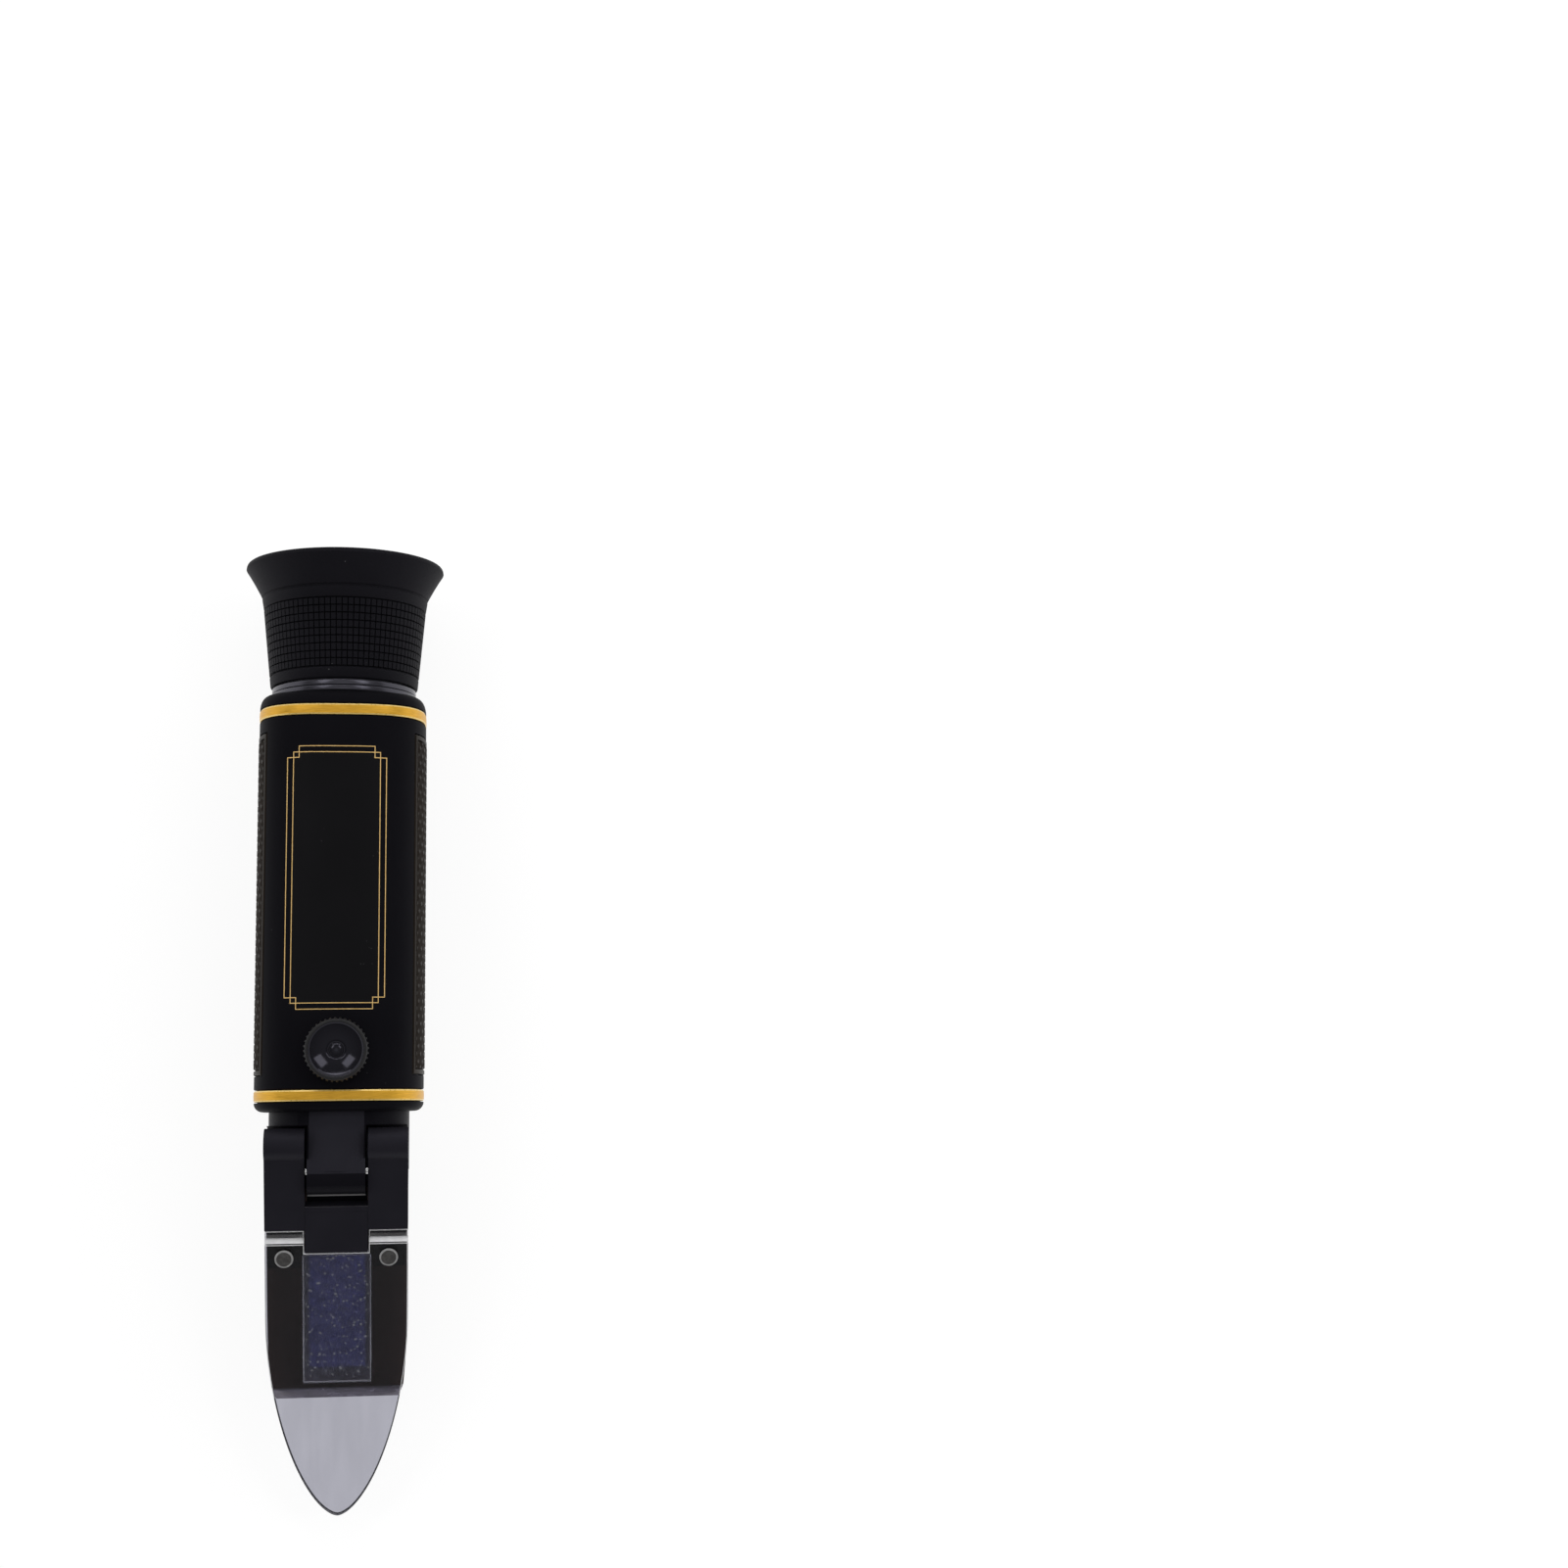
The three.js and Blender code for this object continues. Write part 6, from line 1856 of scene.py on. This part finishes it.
def make_floor(height):
    """A square sheet under the instrument, which belongs to the stage and not to the object."""
    half = FLOOR_SIZE / 2
    corners = [(x, y, height) for x, y in ((-half, -half), (half, -half), (half, half), (-half, half))]
    mesh = bpy.data.meshes.new("floor")
    mesh.from_pydata(corners, [], [(0, 1, 2, 3)])
    mesh.materials.append(white_sweep())
    floor = bpy.data.objects.new("floor", mesh)
    bpy.context.scene.collection.objects.link(floor)
    floor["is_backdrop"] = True


low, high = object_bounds()
make_floor(low.z)
print("floor at", round(low.z / MM, 2), "mm")

# %% [markdown]
# ## Light
# A soft ceiling lights the tops, and the room between it and the floor is dark, so that gloss black
# shows its shape by what it mirrors: the ceiling on flat tops, two small windows in the bowl of the
# knob, and narrow strips along every rounded edge. The boxes at the sides light the flanks and are
# not mirrored.

# %% Light
ZENITH, CEILING, SKY, HORIZON = 0.65, 0.32, 0.05, 1.0
SKY_RANGES = ((0.3, 0.45, HORIZON, SKY), (0.42, 0.9, SKY, CEILING), (0.93, 0.99, SKY, ZENITH))
LAMP_TARGET = Vector((0, 0, 0.01))
LAMPS = (
    ("left_box", (-0.55, 0.0, 0.25), (0.12, 0.8), 0.8, False),
    ("right_box", (0.55, 0.0, 0.22), (0.12, 0.8), 1.2, False),
    ("back_strip", (0.0, 0.5, 0.42), (0.8, 0.07), 0.8, True),
    ("left_window", (-0.27, 0.22, 0.49), (0.24, 0.15), 0.28, True),
    ("right_window", (0.27, 0.21, 0.49), (0.24, 0.15), 0.28, True),
)


def area_light(name, place, size, energy, mirrored):
    """A soft box that looks at the object. Only a mirrored one shows in the gloss."""
    data = bpy.data.lights.new(name, "AREA")
    data.shape = "RECTANGLE"
    data.size, data.size_y = size
    data.energy = energy
    lamp = bpy.data.objects.new(name, data)
    bpy.context.scene.collection.objects.link(lamp)
    lamp.location = place
    lamp.rotation_euler = (LAMP_TARGET - Vector(place)).to_track_quat("-Z", "Y").to_euler()
    lamp.visible_glossy = mirrored


def make_sky():
    """A room that is white round the horizon, dark above it, soft under the ceiling and lit overhead."""
    world = bpy.data.worlds.new("sky")
    bpy.context.scene.world = world
    world.use_nodes = True
    tree = world.node_tree
    tree.nodes.clear()
    direction, split = tree.nodes.new("ShaderNodeTexCoord"), tree.nodes.new("ShaderNodeSeparateXYZ")
    tree.links.new(direction.outputs["Generated"], split.inputs[0])
    level, *others = [ranged(tree, split.outputs["Z"], limits) for limits in SKY_RANGES]
    for other in others:
        level = brighter(tree, level, other)
    room, out = tree.nodes.new("ShaderNodeBackground"), tree.nodes.new("ShaderNodeOutputWorld")
    room.inputs["Color"].default_value = (1, 1, 1, 1)
    tree.links.new(level, room.inputs["Strength"])
    tree.links.new(room.outputs[0], out.inputs["Surface"])


make_sky()
for lamp in LAMPS:
    area_light(*lamp)

# %% [markdown]
# ## Sizes
# The last cell prints the box of the finished model beside the box of the CAD. The box of the
# finished model must lie inside the box of the CAD.

# %% Sizes
made_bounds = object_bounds()
for label, (a, b) in (("CAD", cad_bounds), ("made", made_bounds)):
    print(label, [round(v / MM, 3) for v in a], [round(v / MM, 3) for v in b])
